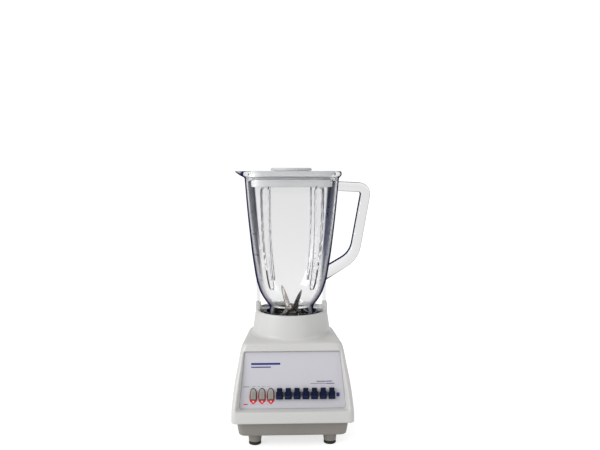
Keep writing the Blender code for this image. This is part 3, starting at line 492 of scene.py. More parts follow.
def rounded_rectangle(half_x, front, rear, corner, rear_corner, steps):
    """The (x, y) points of a rectangle with round corners, anticlockwise from its right side."""
    points = []
    centres = (
        (half_x - rear_corner, rear - rear_corner, rear_corner),
        (rear_corner - half_x, rear - rear_corner, rear_corner),
        (corner - half_x, front + corner, corner),
        (half_x - corner, front + corner, corner),
    )
    for quarter, (x, y, radius) in enumerate(centres):
        for step in range(steps + 1):
            angle = math.pi / 2 * (quarter + step / steps)
            points.append((x + radius * math.cos(angle), y + radius * math.sin(angle)))
    return points


def helix_ridge(root, crest, start, turns, half_foot=1.3, half_crest=0.5):
    """A screw thread's ridge, which grows in and out at its two ends."""
    steps = round(THREAD_STEPS * turns)
    rings = []
    for i in range(steps + 1):
        angle = math.tau * i / THREAD_STEPS
        rise = start + THREAD_LEAD * i / THREAD_STEPS
        grown = min(1.0, 0.15 + i / 8, 0.15 + (steps - i) / 8)
        top = root + (crest - root) * grown
        corners = ((root, -half_foot), (top, -half_crest), (top, half_crest), (root, half_foot))
        rings.append([(r * math.cos(angle), r * math.sin(angle), rise + dz) for r, dz in corners])
    return loft(rings)


# ---- Objects ----


def new_object(name, shape, place=TO_AXIS):
    """An object of a finished shape, in metres and in place, with its faces turned out."""
    bmesh.ops.recalc_face_normals(shape, faces=shape.faces)
    mesh = bpy.data.meshes.new(name)
    shape.to_mesh(mesh)
    shape.free()
    mesh.transform(place)
    made = bpy.data.objects.new(name, mesh)
    bpy.context.scene.collection.objects.link(made)
    return made


def applied(made):
    """Makes an object's modifiers part of its mesh."""
    bpy.context.view_layer.update()
    graph = bpy.context.evaluated_depsgraph_get()
    mesh = bpy.data.meshes.new_from_object(made.evaluated_get(graph))
    made.modifiers.clear()
    old = made.data
    made.data = mesh
    bpy.data.meshes.remove(old)


def combine_object(target, tool, operation="DIFFERENCE"):
    """Cuts an object out of the target, or joins it to the target, and removes it."""
    step = target.modifiers.new("step", "BOOLEAN")
    step.operation = operation
    step.solver = "EXACT"
    step.object = tool
    applied(target)
    bpy.data.objects.remove(tool)


def combine(target, shape, operation="DIFFERENCE", place=TO_AXIS):
    """Cuts a shape out of the target, or joins it to the target."""
    combine_object(target, new_object("tool", shape, place), operation)


def take_in(target, shape):
    """Adds a shape to the target's mesh as it is, for soften() to melt in."""
    added = new_object("added", shape)
    whole = bmesh.new()
    whole.from_mesh(target.data)
    whole.from_mesh(added.data)
    whole.to_mesh(target.data)
    whole.free()
    bpy.data.objects.remove(added)


def weld(made, gap=0.02):
    """Closes the hairline cracks that cutting leaves in a mesh, and takes out its slivers."""
    shape = bmesh.new()
    shape.from_mesh(made.data)
    bmesh.ops.remove_doubles(shape, verts=shape.verts, dist=gap * MM)
    bmesh.ops.dissolve_degenerate(shape, edges=shape.edges, dist=gap * MM)
    loose = [edge for edge in shape.edges if not edge.link_faces]
    bmesh.ops.delete(shape, geom=loose, context="EDGES")
    shape.to_mesh(made.data)
    shape.free()


def soften(made, voxel, faces, smoothing):
    """Melts the shapes of an object into one skin with slightly rounded edges."""
    remesh = made.modifiers.new("remesh", "REMESH")
    remesh.mode = "VOXEL"
    remesh.voxel_size = voxel * MM
    remesh.use_smooth_shade = True
    smooth = made.modifiers.new("smooth", "SMOOTH")
    smooth.iterations = smoothing
    smooth.factor = 0.5
    applied(made)
    count = sum(len(face.vertices) - 2 for face in made.data.polygons)
    if count > faces:
        thin = made.modifiers.new("thin", "DECIMATE")
        thin.ratio = faces / count
        applied(made)
    made.data.shade_smooth()


def finish_piece(made, look, slot, body, *replaced, sharp=32):
    """Gives a piece its material, smooth shading, body and the CAD nodes that it stands for."""
    made.data.materials.clear()
    made.data.materials.append(look)
    made.data.shade_smooth()
    if sharp:
        made.data.set_sharp_from_angle(angle=math.radians(sharp))
        weigh = made.modifiers.new("normals", "WEIGHTED_NORMAL")
        weigh.keep_sharp = True
    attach(made, body)
    if replaced:
        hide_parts(*replaced)
    return made


# ---- Materials ----


class Look:
    """A material under construction: its node tree, with short ways to add and link nodes."""

    def __init__(self, name, colour, roughness, metallic=0.0):
        self.material = bpy.data.materials.new(name)
        self.material.use_nodes = True
        self.tree = self.material.node_tree
        self.shader = self.tree.nodes["Principled BSDF"]
        self.colour = colour
        self.shader.inputs["Base Color"].default_value = (*colour, 1.0)
        self.shader.inputs["Roughness"].default_value = roughness
        self.shader.inputs["Metallic"].default_value = metallic
        self.place = self.node("ShaderNodeTexCoord").outputs["Object"]

    def node(self, kind, inputs=None, **settings):
        """A new node with its settings and input values. An input that is a socket is linked."""
        made = self.tree.nodes.new(kind)
        for key, value in settings.items():
            setattr(made, key, value)
        for key, value in (inputs or {}).items():
            if isinstance(value, bpy.types.NodeSocket):
                self.tree.links.new(value, made.inputs[key])
            else:
                made.inputs[key].default_value = value
        return made

    def stretched(self, scale, about=(0.0, 0.0, 0.0)):
        """The place on the object, measured from a point and scaled along each axis."""
        shift = self.node("ShaderNodeVectorMath", {0: self.place, 1: about}, operation="SUBTRACT")
        scaled = self.node("ShaderNodeVectorMath", {0: shift.outputs[0], 1: scale}, operation="MULTIPLY")
        return scaled.outputs[0]

    def noise(self, scale, detail=2.0, place=None, seed=0.0):
        """A noise value from 0 to 1 at a scale per metre."""
        made = self.node(
            "ShaderNodeTexNoise",
            {"Vector": place or self.place, "W": seed, "Scale": scale, "Detail": detail},
            noise_dimensions="4D",
        )
        return made.outputs["Fac"]

    def ranged(self, value, low, high):
        """A value of 0.3 to 0.7 spread over another range."""
        inputs = {"Value": value, "From Min": 0.3, "From Max": 0.7, "To Min": low, "To Max": high}
        return self.node("ShaderNodeMapRange", inputs).outputs["Result"]

    def blend(self, amount, low, high):
        """Blends the base colour between two colours."""
        ends = {0: amount, 6: (*low, 1.0), 7: (*high, 1.0)}
        made = self.node("ShaderNodeMix", ends, data_type="RGBA")
        self.tree.links.new(made.outputs[2], self.shader.inputs["Base Color"])

    def tint(self, value, other, strength):
        """Blends the base colour towards another one where a value is high."""
        self.blend(self.ranged(value, 0.0, strength), self.colour, other)

    def rough(self, value, low, high):
        """Spreads a value over the roughness."""
        self.tree.links.new(self.ranged(value, low, high), self.shader.inputs["Roughness"])

    def bump(self, value, depth, strength=1.0, under=None):
        """A bump of a depth in millimetres. Bumps can be stacked."""
        inputs = {"Height": value, "Distance": depth * MM, "Strength": strength}
        if under:
            inputs["Normal"] = under
        made = self.node("ShaderNodeBump", inputs)
        self.tree.links.new(made.outputs["Normal"], self.shader.inputs["Normal"])
        return made.outputs["Normal"]

    def choose(self, share, plain, other):
        """Shows one shader or the other by a share of 0 to 1."""
        made = self.node("ShaderNodeMixShader", {0: share, 1: plain.outputs[0], 2: other.outputs[0]})
        self.tree.links.new(made.outputs[0], self.tree.nodes["Material Output"].inputs["Surface"])


def shade(colour, factor):
    """A colour made lighter or darker."""
    return tuple(min(1.0, part * factor) for part in colour)


def moulded(name, colour, roughness, grain=0.02, mottle=0.06, spread=0.05, specular=0.5):
    """Moulded plastic: a fine spark-eroded grain, faint mottling and slightly uneven gloss."""
    look = Look(name, colour, roughness)
    look.shader.inputs["Specular IOR Level"].default_value = specular
    cloud = look.noise(14.0, 3.0)
    look.tint(cloud, shade(colour, 1 - mottle), 1.0)
    look.rough(look.noise(45.0, 4.0, seed=3.0), roughness - spread, roughness + spread)
    flow = look.bump(look.noise(60.0, 1.0, seed=5.0), 0.05, 0.25)
    look.bump(look.noise(1400.0, 2.0), grain, 0.5, flow)
    return look.material


def rubbery(name, colour, roughness):
    """Rubber: a matt, dusty surface with a coarse grain."""
    look = Look(name, colour, roughness)
    look.tint(look.noise(120.0, 5.0), shade(colour, 1.7), 0.6)
    look.rough(look.noise(300.0, 4.0, seed=2.0), roughness - 0.1, roughness + 0.08)
    look.bump(look.noise(1800.0, 3.0), 0.03, 0.6)
    return look.material


def brushed(name, colour, roughness, scale=None):
    """Brushed metal: scratches stretched by a scale, or without one in circles round the jar's axis."""
    look = Look(name, colour, roughness, 1.0)
    if scale:
        place = look.stretched(scale)
    else:
        level = look.stretched((1, 1, 0), tuple(AXIS))
        out = look.node("ShaderNodeVectorMath", {0: level}, operation="LENGTH").outputs["Value"]
        height = look.node("ShaderNodeSeparateXYZ", {0: look.place}).outputs["Z"]
        place = look.node("ShaderNodeCombineXYZ", {"X": out, "Y": height}).outputs[0]
    scratch = look.noise(2600.0, 3.0, place)
    look.tint(scratch, shade(colour, 0.72), 1.0)
    look.rough(scratch, roughness - 0.07, roughness + 0.12)
    wear = look.bump(look.noise(220.0, 3.0, seed=4.0), 0.02, 0.3)
    look.bump(scratch, 0.012, 0.5, wear)
    return look.material


def banded(name, colour, other, roughness, scale):
    """Stacked or wound metal: close level bands, such as laminations or turns of wire."""
    look = Look(name, colour, roughness, 1.0)
    bands = look.node(
        "ShaderNodeTexWave",
        {"Vector": look.place, "Scale": scale, "Distortion": 0.6, "Detail": 1.0, "Detail Scale": 4.0},
        bands_direction="Z",
    ).outputs["Fac"]
    look.tint(bands, other, 1.0)
    look.rough(look.noise(180.0, 3.0), roughness - 0.06, roughness + 0.1)
    look.bump(bands, 0.25, 0.5)
    return look.material


def clear_plastic(name):
    """Clear moulded plastic: bright on its faces, with a painted dark navy reflection where it is seen edge
    on. Lamps shine through.
    """
    look = Look(name, (1.0, 1.0, 1.0), 0.015)
    look.shader.inputs["IOR"].default_value = 1.46
    facing = look.node("ShaderNodeLayerWeight", {"Blend": 0.5}).outputs["Facing"]
    spread = {"Value": facing, "From Min": 0.42, "From Max": 0.76}
    edge = look.node("ShaderNodeMapRange", spread, interpolation_type="SMOOTHSTEP").outputs["Result"]
    # Painted reflection: towards grazing angles the base colour turns dark navy and transmission and
    # specular fade out, standing in for the dark surroundings that the clear wall reflects and bends at its
    # edges and flutes
    look.blend(edge, (0.99, 0.992, 0.996), (0.006, 0.01, 0.05))
    for socket, full in (("Transmission Weight", 1.0), ("Specular IOR Level", 0.5)):
        spread = {"Value": edge, "To Min": full, "To Max": 0.0}
        faded = look.node("ShaderNodeMapRange", spread).outputs["Result"]
        look.tree.links.new(faded, look.shader.inputs[socket])
    ripple = look.noise(1.0, 2.0, look.stretched((55.0, 55.0, 9.0)))
    look.bump(ripple, 0.02, 0.3)
    rays = look.node("ShaderNodeLightPath").outputs["Is Shadow Ray"]
    open_way = look.node("ShaderNodeBsdfTransparent", {"Color": (0.93, 0.94, 0.95, 1.0)})
    look.choose(rays, look.shader, open_way)
    return look.material


def printed(name, colour):
    """Screen print: satin ink with a fine dot screen."""
    look = Look(name, colour, 0.45)
    look.tint(look.noise(900.0, 2.0), shade(colour, 0.85), 0.7)
    look.bump(look.noise(2200.0, 1.0), 0.01, 0.4)
    return look.material


WHITE = moulded("white_moulding", (0.57, 0.567, 0.557), 0.34, mottle=0.03)
PANEL_FOIL = moulded("panel_foil", (0.535, 0.53, 0.57), 0.42, grain=0.012, mottle=0.03)
KEY_GREY = moulded("key_taupe", (0.31, 0.29, 0.265), 0.38, mottle=0.08)
KEY_NAVY = moulded("key_navy", (0.0015, 0.006, 0.032), 0.45, mottle=0.2, specular=0.15)
KEY_BAR = moulded("key_finger_bar", (0.005, 0.014, 0.06), 0.4, mottle=0.2, specular=0.2)
PAN_TAUPE = moulded("pan_taupe", (0.25, 0.232, 0.212), 0.46, grain=0.05, mottle=0.08)
BLACK_GLOSS = moulded("collar_black", (0.004, 0.004, 0.005), 0.2, 0.006, 0.3, 0.04, specular=0.16)
BLACK_MATT = moulded("black_moulding", (0.012, 0.012, 0.012), 0.5, mottle=0.3)
LID_GREY = moulded("lid_moulding", (0.60, 0.605, 0.605), 0.3, grain=0.008, mottle=0.04)
RUBBER = rubbery("black_rubber", (0.016, 0.016, 0.016), 0.72)
SEAL_RUBBER = rubbery("seal_rubber", (0.30, 0.30, 0.265), 0.6)
PLATE_STEEL = brushed("turned_stainless", (0.44, 0.415, 0.39), 0.26)
BLADE_STEEL = brushed("blade_stainless", (0.45, 0.42, 0.39), 0.2, (0.05, 0.6, 1.0))
PLAIN_STEEL = brushed("machined_steel", (0.45, 0.45, 0.46), 0.36)
BRASS = brushed("turned_brass", (0.62, 0.44, 0.19), 0.34)
LAMINATED = banded("laminated_steel", (0.42, 0.42, 0.44), (0.16, 0.16, 0.17), 0.42, 160.0)
WINDING = banded("copper_winding", (0.55, 0.23, 0.09), (0.22, 0.07, 0.02), 0.33, 150.0)
CARBON = rubbery("carbon", (0.035, 0.035, 0.035), 0.55)
CLEAR = clear_plastic("clear_plastic")
INK_RED = printed("ink_red", (0.70, 0.015, 0.03))
INK_PINK = printed("ink_pink", (0.62, 0.36, 0.40))
INK_NAVY = printed("ink_navy", (0.012, 0.016, 0.19))
# Painted shadow: the grey ink of the discs that stand for the speed keys' shadows on the panel
INK_PAINTED_SHADOW = printed("ink_painted_shadow", (0.13, 0.12, 0.13))
INK_GREY = printed("ink_grey", (0.20, 0.20, 0.23))
INK_PALE = printed("ink_pale", (0.72, 0.62, 0.60))


# ---- Housing ----


def panel_outline(flare, extra=0.0, corner=3.0):
    """The panel's outline in its own frame, opened out by a reach in front of its face."""
    side = RECESS_SIDE_FLARE * flare + extra
    low = -PANEL_HALF_HEIGHT - RECESS_LOW_FLARE * flare - extra
    high = PANEL_HALF_HEIGHT + RECESS_HIGH_FLARE * flare + extra
    corners = (
        (-PANEL_LOW_HALF - side, low, corner),
        (PANEL_LOW_HALF + side, low, corner),
        (PANEL_HIGH_HALF + side, high, corner),
        (-PANEL_HIGH_HALF - side, high, corner),
    )
    return filleted(corners)


def housing_ring(level, less=0.0):
    """One ring of the housing's outline, moved in by a wall thickness. It narrows towards the rear."""
    height, half_x, rear_half, front, rear, corner, rear_corner = level
    half_x, rear_half = half_x - less, rear_half - less
    front, rear = front + less, rear - less
    corner, rear_corner = max(corner - less, 2.0), max(rear_corner - less, 2.0)
    ring = []
    for x, y in rounded_rectangle(half_x, front, rear, corner, rear_corner, 14):
        width = 1 + (rear_half / half_x - 1) * (y - front) / (rear - front)
        ring.append((x * width, y, height))
    return ring


def round_level(radius, height):
    """A housing level that is a circle."""
    return (height, radius, radius, -radius, radius, radius * 0.995, radius * 0.995)


def make_cavity():
    """The room inside the shell, which goes round the well and behind the panel's recess."""
    inside = [housing_ring(level, WALL) for level in smooth_rows(HOUSING_LEVELS[:6], 8.0)]
    low = [(x, y, z - 1.0) for x, y, z in inside[0]]
    cavity = new_object("cavity", loft([low, *inside, housing_ring(CAVITY_TOP_LEVEL)]))
    combine(cavity, cylinder(WELL_RADIUS + WALL, WELL_FLOOR_UNDER, CAVITY_TOP_LEVEL[0] + 1.0))
    back = -PANEL_THICKNESS - PANEL_GAP - WALL
    behind = prism(panel_outline(RECESS_REACH, WALL), back, 3 * RECESS_REACH)
    combine(cavity, behind, place=TO_PANEL)
    return cavity


def notch_shape():
    """What the rear notch takes out of the ring: straight sides with rounded shoulders."""
    half, wide = NOTCH_HALF_WIDTH, NOTCH_HALF_WIDTH + NOTCH_FLARE
    right = (
        (half, NOTCH_FLOOR, 2.5),
        (half, RING_TOP, 3.0),
        (wide, RING_TOP + 0.4, 0),
        (wide, RING_TOP + 20.0, 0),
    )
    left = [(-x, z, radius) for x, z, radius in reversed(right)]
    outline = filleted([left[-1], *right, *left[:-1]])
    return loft([[(x, y, z) for x, z in outline] for y in NOTCH_REACH])


def recess_shape():
    """What the panel and the opening in front of it take out of the shell."""
    levels = ((-PANEL_THICKNESS - PANEL_GAP, 0.0), (0.0, 0.0), (RECESS_REACH, RECESS_REACH))
    return layers([(panel_outline(flare, PANEL_GAP), depth) for depth, flare in levels])


def make_housing():
    """The white shell: body, ring with its well, lugs, rear notch, panel recess and screw bosses."""
    levels = smooth_rows(HOUSING_LEVELS + SHOULDER_LEVELS, 3.0)
    levels.append(round_level(RING_TOP_RADIUS + 0.2, RING_TOP - 1.0))
    levels.append(round_level(RING_TOP_RADIUS - 0.8, RING_TOP))
    housing = new_object("housing_shell", loft([housing_ring(level) for level in levels]))
    combine(housing, cylinder(WELL_RADIUS, WELL_FLOOR, RING_TOP + 1.0))
    combine_object(housing, make_cavity())
    combine(housing, cylinder(SHAFT_HOLE_RADIUS, WELL_FLOOR - 12.0, WELL_FLOOR + 8.0, sides=48))
    combine(housing, notch_shape())
    combine(housing, recess_shape(), place=TO_PANEL)
    window = box(
        (-WINDOW_HALF_WIDTH, WINDOW_HALF_WIDTH),
        (KEY_ROW - WINDOW_HALF_HEIGHT, KEY_ROW + WINDOW_HALF_HEIGHT),
        (-3 * WALL, 0.0),
    )
    combine(housing, window, place=TO_PANEL)
    extras = [lug_prong(side, end) for side in (-1, 1) for end in (-1, 1)]
    extras += [screw_boss(x, y) for x, y in mirrored_pairs(SCREW_X, SCREW_Y)]
    take_in(housing, joined(extras))
    soften(housing, voxel=1.15, faces=170000, smoothing=2)
    finish_piece(housing, WHITE, "housing", "base", "base_housing", sharp=None)


def lug_prong(side, end):
    """One prong of a lug: each lug is a pair of pointed fins with a slot between them."""
    top = HOUSING_HIGH.z
    corners = (
        (side * LUG_INNER, LUG_LOW, 0),
        (side * LUG_OUTER, LUG_LOW, 0),
        (side * LUG_OUTER, top, 2.6),
        (side * (LUG_INNER - 0.4), top, 2.6),
        (side * (LUG_INNER - 1.3), RING_TOP + 3.0, 2.0),
        (side * LUG_INNER, RING_TOP - 3.0, 2.0),
    )
    half = (LUG_HALF_WIDTH - LUG_SLOT_HALF_WIDTH) / 2
    prong = side_slab(filleted(corners), half, 1.2)
    return moved(prong, (0.0, end * (LUG_SLOT_HALF_WIDTH + half), 0.0))


def screw_boss(x, y):
    """The block in a corner of the housing that a screw bites into."""
    side = math.copysign(1, x)
    reach = sorted((x - side * BOSS_HALF, side * BOSS_REACH))
    return box(reach, (y - BOSS_HALF, y + BOSS_HALF), (PAN_HIGH.z + 0.3, BOSS_TOP))


# ---- Panel and keys ----


def key_place(number):
    """The x of a key in the panel's frame, counted from 0 at the left."""
    return (number - (KEY_COUNT - 1) / 2) * KEY_PITCH


def bullet(grow=0.0):
    """A pulse key's outline, anticlockwise: straight sides below and a pointed round top."""
    half = PULSE_HALF + grow
    low, shoulder = -KEY_HALF - grow, KEY_HALF - 5.4
    rise = KEY_HALF + grow - shoulder
    arch = [
        (half * math.cos(math.pi * i / 16), shoulder + rise * math.sin(math.pi * i / 16) ** 0.9)
        for i in range(17)
    ]
    corners = filleted(((-half, low, 0.5), (half, low, 0.5), (half, shoulder, 0), (-half, shoulder, 0)))
    return corners[:-2] + arch


def bottle(grow=0.0):
    """A speed key's outline, anticlockwise: a wide body below a narrow neck."""
    half, neck = SPEED_HALF + grow, SPEED_NECK_HALF + grow
    low, high = -KEY_HALF - grow, KEY_HALF + grow
    return filleted(
        (
            (-half, low, 0.6),
            (half, low, 0.6),
            (half, 1.3 + grow, 0.8),
            (neck, 2.7 + grow, 0.6),
            (neck, high, 0.5),
            (-neck, high, 0.5),
            (-neck, 2.7 + grow, 0.6),
            (-half, 1.3 + grow, 0.8),
        ),
        steps=3,
    )


def shifted(outline, x, y=0.0):
    """An outline moved in its plane."""
    return [(u + x, v + y) for u, v in outline]


def key_hole(number):
    """What a key's hole takes out of the panel and its print. A pulse key's hole is the roomier one."""
    outline = bullet(0.8) if number < PULSE_KEYS else bottle(0.45)
    return prism(shifted(outline, key_place(number), KEY_ROW), -4.0, 2.0)


def make_panel():
    """The panel with its key holes. Its print, which is plain bars in place of any marks, is made by
    make_print().
    """
    outline = panel_outline(0.0, 0.0, 2.6)
    levels = ((0.3, -PANEL_THICKNESS), (0.0, -PANEL_THICKNESS + 0.3), (0.0, -0.25), (0.25, 0.0))
    plate = layers([(inset(outline, less), height) for less, height in levels])
    panel = new_object("panel_plate", plate, TO_PANEL)
    for number in range(KEY_COUNT):
        combine(panel, key_hole(number), place=TO_PANEL)
    finish_piece(panel, PANEL_FOIL, "panel", "base", "control_panel")


def bar(x, y, length, height):
    """A printed bar, given by its left end and its middle height."""
    low, high = y - height / 2, y + height / 2
    corner = min(height, length) * 0.3
    return prism(slab_outline((x, x + length), (low, high), corner, 3), -0.2, 0.1)


def teardrop(x):
    """The red print round the lower half of a pulse key, before the key's hole is cut from it."""
    low = KEY_ROW - KEY_HALF
    corners = (
        (x, low - 6.4, 1.2),
        (x + 4.7, low - 2.4, 4.0),
        (x + PULSE_HALF + 1.75, low + 3.6, 3.5),
        (x + PULSE_HALF + 0.9, KEY_ROW + 3.2, 0.3),
        (x - PULSE_HALF - 0.9, KEY_ROW + 3.2, 0.3),
        (x - PULSE_HALF - 1.75, low + 3.6, 3.5),
        (x - 4.7, low - 2.4, 4.0),
    )
    return prism(filleted(corners), -0.2, 0.12)


def print_piece(name, ink, shapes, holes=()):
    """A printed colour or a painted shadow on the panel, as a thin layer of ink round the keys' holes."""
    made = new_object(f"print_{name}", joined(shapes), TO_PANEL)
    for number in holes:
        combine(made, key_hole(number), place=TO_PANEL)
    finish_piece(made, ink, "panel", "base")


def make_print():
    """The print: drops and dots at the pulse keys, painted shadows beside the speed keys, and plain bars."""
    pulse, speed = range(PULSE_KEYS), range(PULSE_KEYS, KEY_COUNT)
    first, last = key_place(0), key_place(KEY_COUNT - 1)
    above, below = KEY_ROW + KEY_HALF + 2.4, KEY_ROW - KEY_HALF - 6.0
    caption = KEY_ROW + KEY_HALF + 8.4
    print_piece("red", INK_RED, [teardrop(key_place(number)) for number in pulse], pulse)
    # Painted shadow: a grey disc to the right of each speed key but the last stands for the shadow that the
    # key casts, with the light coming from the left
    key_shadow_discs = []
    for number in speed[:-1]:
        key_shadow_discs.append(cylinder(3.6, -0.2, 0.12, (key_place(number) + 3.6, KEY_ROW - 0.8), 40))
    print_piece("painted_shadow_marks", INK_PAINTED_SHADOW, key_shadow_discs, speed)
    dot_height = KEY_ROW - KEY_HALF - 2.6
    dots = [cylinder(1.2, 0.0, 0.2, (key_place(number), dot_height), 20) for number in pulse]
    print_piece("pale_dots", INK_PALE, dots)
    bars = {
        "red_bar": (INK_RED, [(first - 12.8, below, 5.6, 1.3)]),
        "pink_bars": (INK_PINK, [(first - 4.0 + 5.2 * i, below - 0.2, 3.6, 0.5) for i in range(6)]),
        "grey_bars": (
            INK_GREY,
            [
                (first - 13.4, above, 8.0, 0.9),
                *[(first - 1.5 + 6.4 * i, above + 0.2, 4.4, 0.35) for i in range(4)],
                (last - 20.0, caption, 12.0, 1.6),
                (last - 28.0, caption - 2.6, 20.0, 0.8),
            ],
        ),
        "navy_bars": (
            INK_NAVY,
            [
                (first - 3.0, 20.8, 38.5, 2.6),
                (first - 3.0, 16.6, 26.0, 1.4),
                (last - 7.4, caption + 0.2, 8.0, 1.0),
                (last - 7.4, caption - 2.6, 11.0, 0.9),
                (last + 5.8, KEY_ROW - 1.6, 4.4, 5.2),
            ],
        ),
    }
    for name, (ink, places) in bars.items():
        print_piece(name, ink, [bar(*place) for place in places])


def make_keys():
    """Three bullet keys with fine ribs, and seven bottle keys with a raised finger bar."""
    for number in range(PULSE_KEYS):
        x = key_place(number)
        shapes = [pillow(shifted(bullet(), x, KEY_ROW), -KEY_TAIL, KEY_PROUD, 0.9)]
        for offset in (-1.3, 0.0, 1.3):
            across = (x + offset - 0.3, x + offset + 0.3)
            upright = (KEY_ROW - 5.4, KEY_ROW + 3.6 - abs(offset))
            rib = slab_outline(across, upright, 0.2, 3)
            shapes.append(pillow(rib, KEY_PROUD - 0.4, KEY_PROUD + 0.3, 0.2, 2))
        key = f"pulse_key_{number + 1}"
        made = new_object(f"{key}_cap", joined(shapes), TO_PANEL)
        finish_piece(made, KEY_GREY, "pulse_key", key, key)
    for number in range(PULSE_KEYS, KEY_COUNT):
        x = key_place(number)
        half = SPEED_HALF - 0.9
        outline = slab_outline((x - half, x + half), (KEY_ROW - 5.6, KEY_ROW - 2.4), 0.7, 3)
        key = f"speed_key_{number + 1 - PULSE_KEYS}"
        cap = pillow(shifted(bottle(), x, KEY_ROW), -KEY_TAIL, KEY_PROUD, 0.7)
        finish_piece(new_object(f"{key}_cap", cap, TO_PANEL), KEY_NAVY, "speed_key", key, key)
        bar_shape = pillow(outline, KEY_PROUD - 0.2, KEY_PROUD + 0.9, 0.8, 3)
        finish_piece(new_object(f"{key}_finger_bar", bar_shape, TO_PANEL), KEY_BAR, "speed_key", key)


# ---- Pan and feet ----


def pan_layers(levels, corner):
    """A solid through rounded (height, half width, half depth) levels."""
    made = []
    for height, half_x, half_y in levels:
        made.append((rounded_rectangle(half_x, -half_y, half_y, corner, corner, 8), height))
    return layers(made)


def make_pan():
    """The taupe pan with its step, moulded feet, vents and bushing hole."""
    pan = new_object("pan_shell", pan_layers(PAN_OUTSIDE, 8.0))
    combine(pan, pan_layers(PAN_HOLLOW, 5.5))
    low = PAD_HIGH.z + 0.3
    foot = (
        (0, low, 0),
        (FOOT_RADIUS_LOW, low, 0.6),
        (FOOT_RADIUS_HIGH - 0.2, PAN_UNDER - 1.0, 1.0),
        (FOOT_RADIUS_HIGH + 1.6, PAN_UNDER + 0.6, 0),
        (0, PAN_UNDER + 0.6, 0),
    )
    for x, y in mirrored_pairs(FOOT_X, FOOT_Y):
        combine(pan, moved(revolve(filleted(foot), 48), (x, y, 0.0)), "UNION")
    for x, y in mirrored_pairs(SCREW_X, SCREW_Y):
        combine(pan, cylinder(PILLAR_RADIUS, PAN_FLOOR - 1.5, PAN_HIGH.z, (x, y), 32), "UNION")
        combine(pan, cylinder(SCREW_HOLE_RADIUS, PAN_UNDER - 2.0, PAN_HIGH.z + 1.0, (x, y), 24))
        combine(pan, cylinder(SCREW_HEAD_RADIUS, PAN_UNDER - 5.0, SCREW_HEAD_TOP, (x, y), 24))
    for number in range(VENT_COUNT):
        x = (number - (VENT_COUNT - 1) / 2) * VENT_PITCH
        across = (x - VENT_HALF_WIDTH, x + VENT_HALF_WIDTH)
        slot = slab_outline(across, (-VENT_HALF_LENGTH, VENT_HALF_LENGTH), 1.5)
        combine(pan, prism(slot, PAN_UNDER - 2.0, PAN_FLOOR + 2.5))
    hole = turned(cylinder(BUSHING_RADIUS, *BUSHING_REACH, sides=32), -math.pi / 2, "X")
    combine(pan, moved(hole, (0.0, 0.0, BUSHING_HEIGHT)))
    soften(pan, voxel=1.15, faces=110000, smoothing=1)
    finish_piece(pan, PAN_TAUPE, "pan", "base", "base_pan", sharp=None)


def make_pads():
    """The four rubber pads, each with a round lower edge and a shallow tread ring."""
    corners = (
        (0, 0.35, 0),
        (FOOT_RADIUS_LOW - 4.0, 0.35, 0.2),
        (FOOT_RADIUS_LOW - 3.6, 0.0, 0.2),
        (FOOT_RADIUS_LOW, 0.0, 0.9),
        (FOOT_RADIUS_LOW, PAD_HIGH.z, 0.3),
        (0, PAD_HIGH.z, 0),
    )
    for number, (x, y) in enumerate(mirrored_pairs(FOOT_X, FOOT_Y), 1):
        pad = moved(revolve(filleted(corners, 4), 48), (x, y, 0.0))
        finish_piece(new_object(f"rubber_pad_{number}", pad), RUBBER, "rubber", "base", f"foot_pad_{number}")


# ---- Collar, blades and seal ----


def make_collar():
    """The glossy collar with its six fins and the thread inside."""
    low, high = COLLAR_LOW.z, COLLAR_HIGH.z
    corners = (
        (30.5, low, 0.4),
        (34.2, low, 1.0),
        (36.4, high - 5.2, 0.8),
        (COLLAR_RIM_RADIUS, high - 4.0, 0.6),
        (COLLAR_RIM_RADIUS, high, 0.7),
        (COLLAR_BORE, high, 0.5),
        (COLLAR_BORE, COLLAR_LEDGE, 0.3),
        (27.0, COLLAR_LEDGE, 0.4),
        (27.0, COLLAR_LEDGE - 3.0, 0.4),
        (30.5, COLLAR_LEDGE - 6.0, 1.0),
    )
    shapes = [revolve(filleted(corners, 4), 120)]
    fin = (
        (33.2, low + 7.0, 0),
        (FIN_LOW_RADIUS, low + 7.0, 2.4),
        (FIN_TOP_RADIUS, high - 2.0, 2.2),
        (35.7, high - 2.0, 0),
    )
    for number in range(FIN_COUNT):
        slab = side_slab(filleted(fin), FIN_HALF_WIDTH, 0.9)
        shapes.append(turned(slab, math.tau * number / FIN_COUNT))
    shapes.append(helix_ridge(COLLAR_BORE + 0.5, 34.2, COLLAR_LEDGE + 8.0, 1.2))
    collar = new_object("collar_ring", joined(shapes))
    soften(collar, voxel=0.62, faces=90000, smoothing=1)
    finish_piece(collar, BLACK_GLOSS, "collar", "collar", "jar_collar", sharp=None)


def make_plate():
    """The turned blade plate, with its tapered boss."""
    low, high = PLATE_LOW.z, PLATE_HIGH.z
    top = low + 2.0
    corners = (
        (5.5, low, 0),
        (PLATE_HIGH.x, low, 0.5),
        (PLATE_HIGH.x, top, 0.6),
        (25.0, top, 0.4),
        (24.2, top - 0.5, 0.4),
        (13.5, top - 0.5, 1.0),
        (9.2, top + 2.4, 2.2),
        (BOSS_RADIUS, high - 4.0, 1.0),
        (BOSS_RADIUS, high, 0.9),
        (5.5, high, 0.3),
    )
    plate = new_object("plate_disc", revolve(filleted(corners)))
    finish_piece(plate, PLATE_STEEL, "stainless", "blade_unit", "blade_plate")


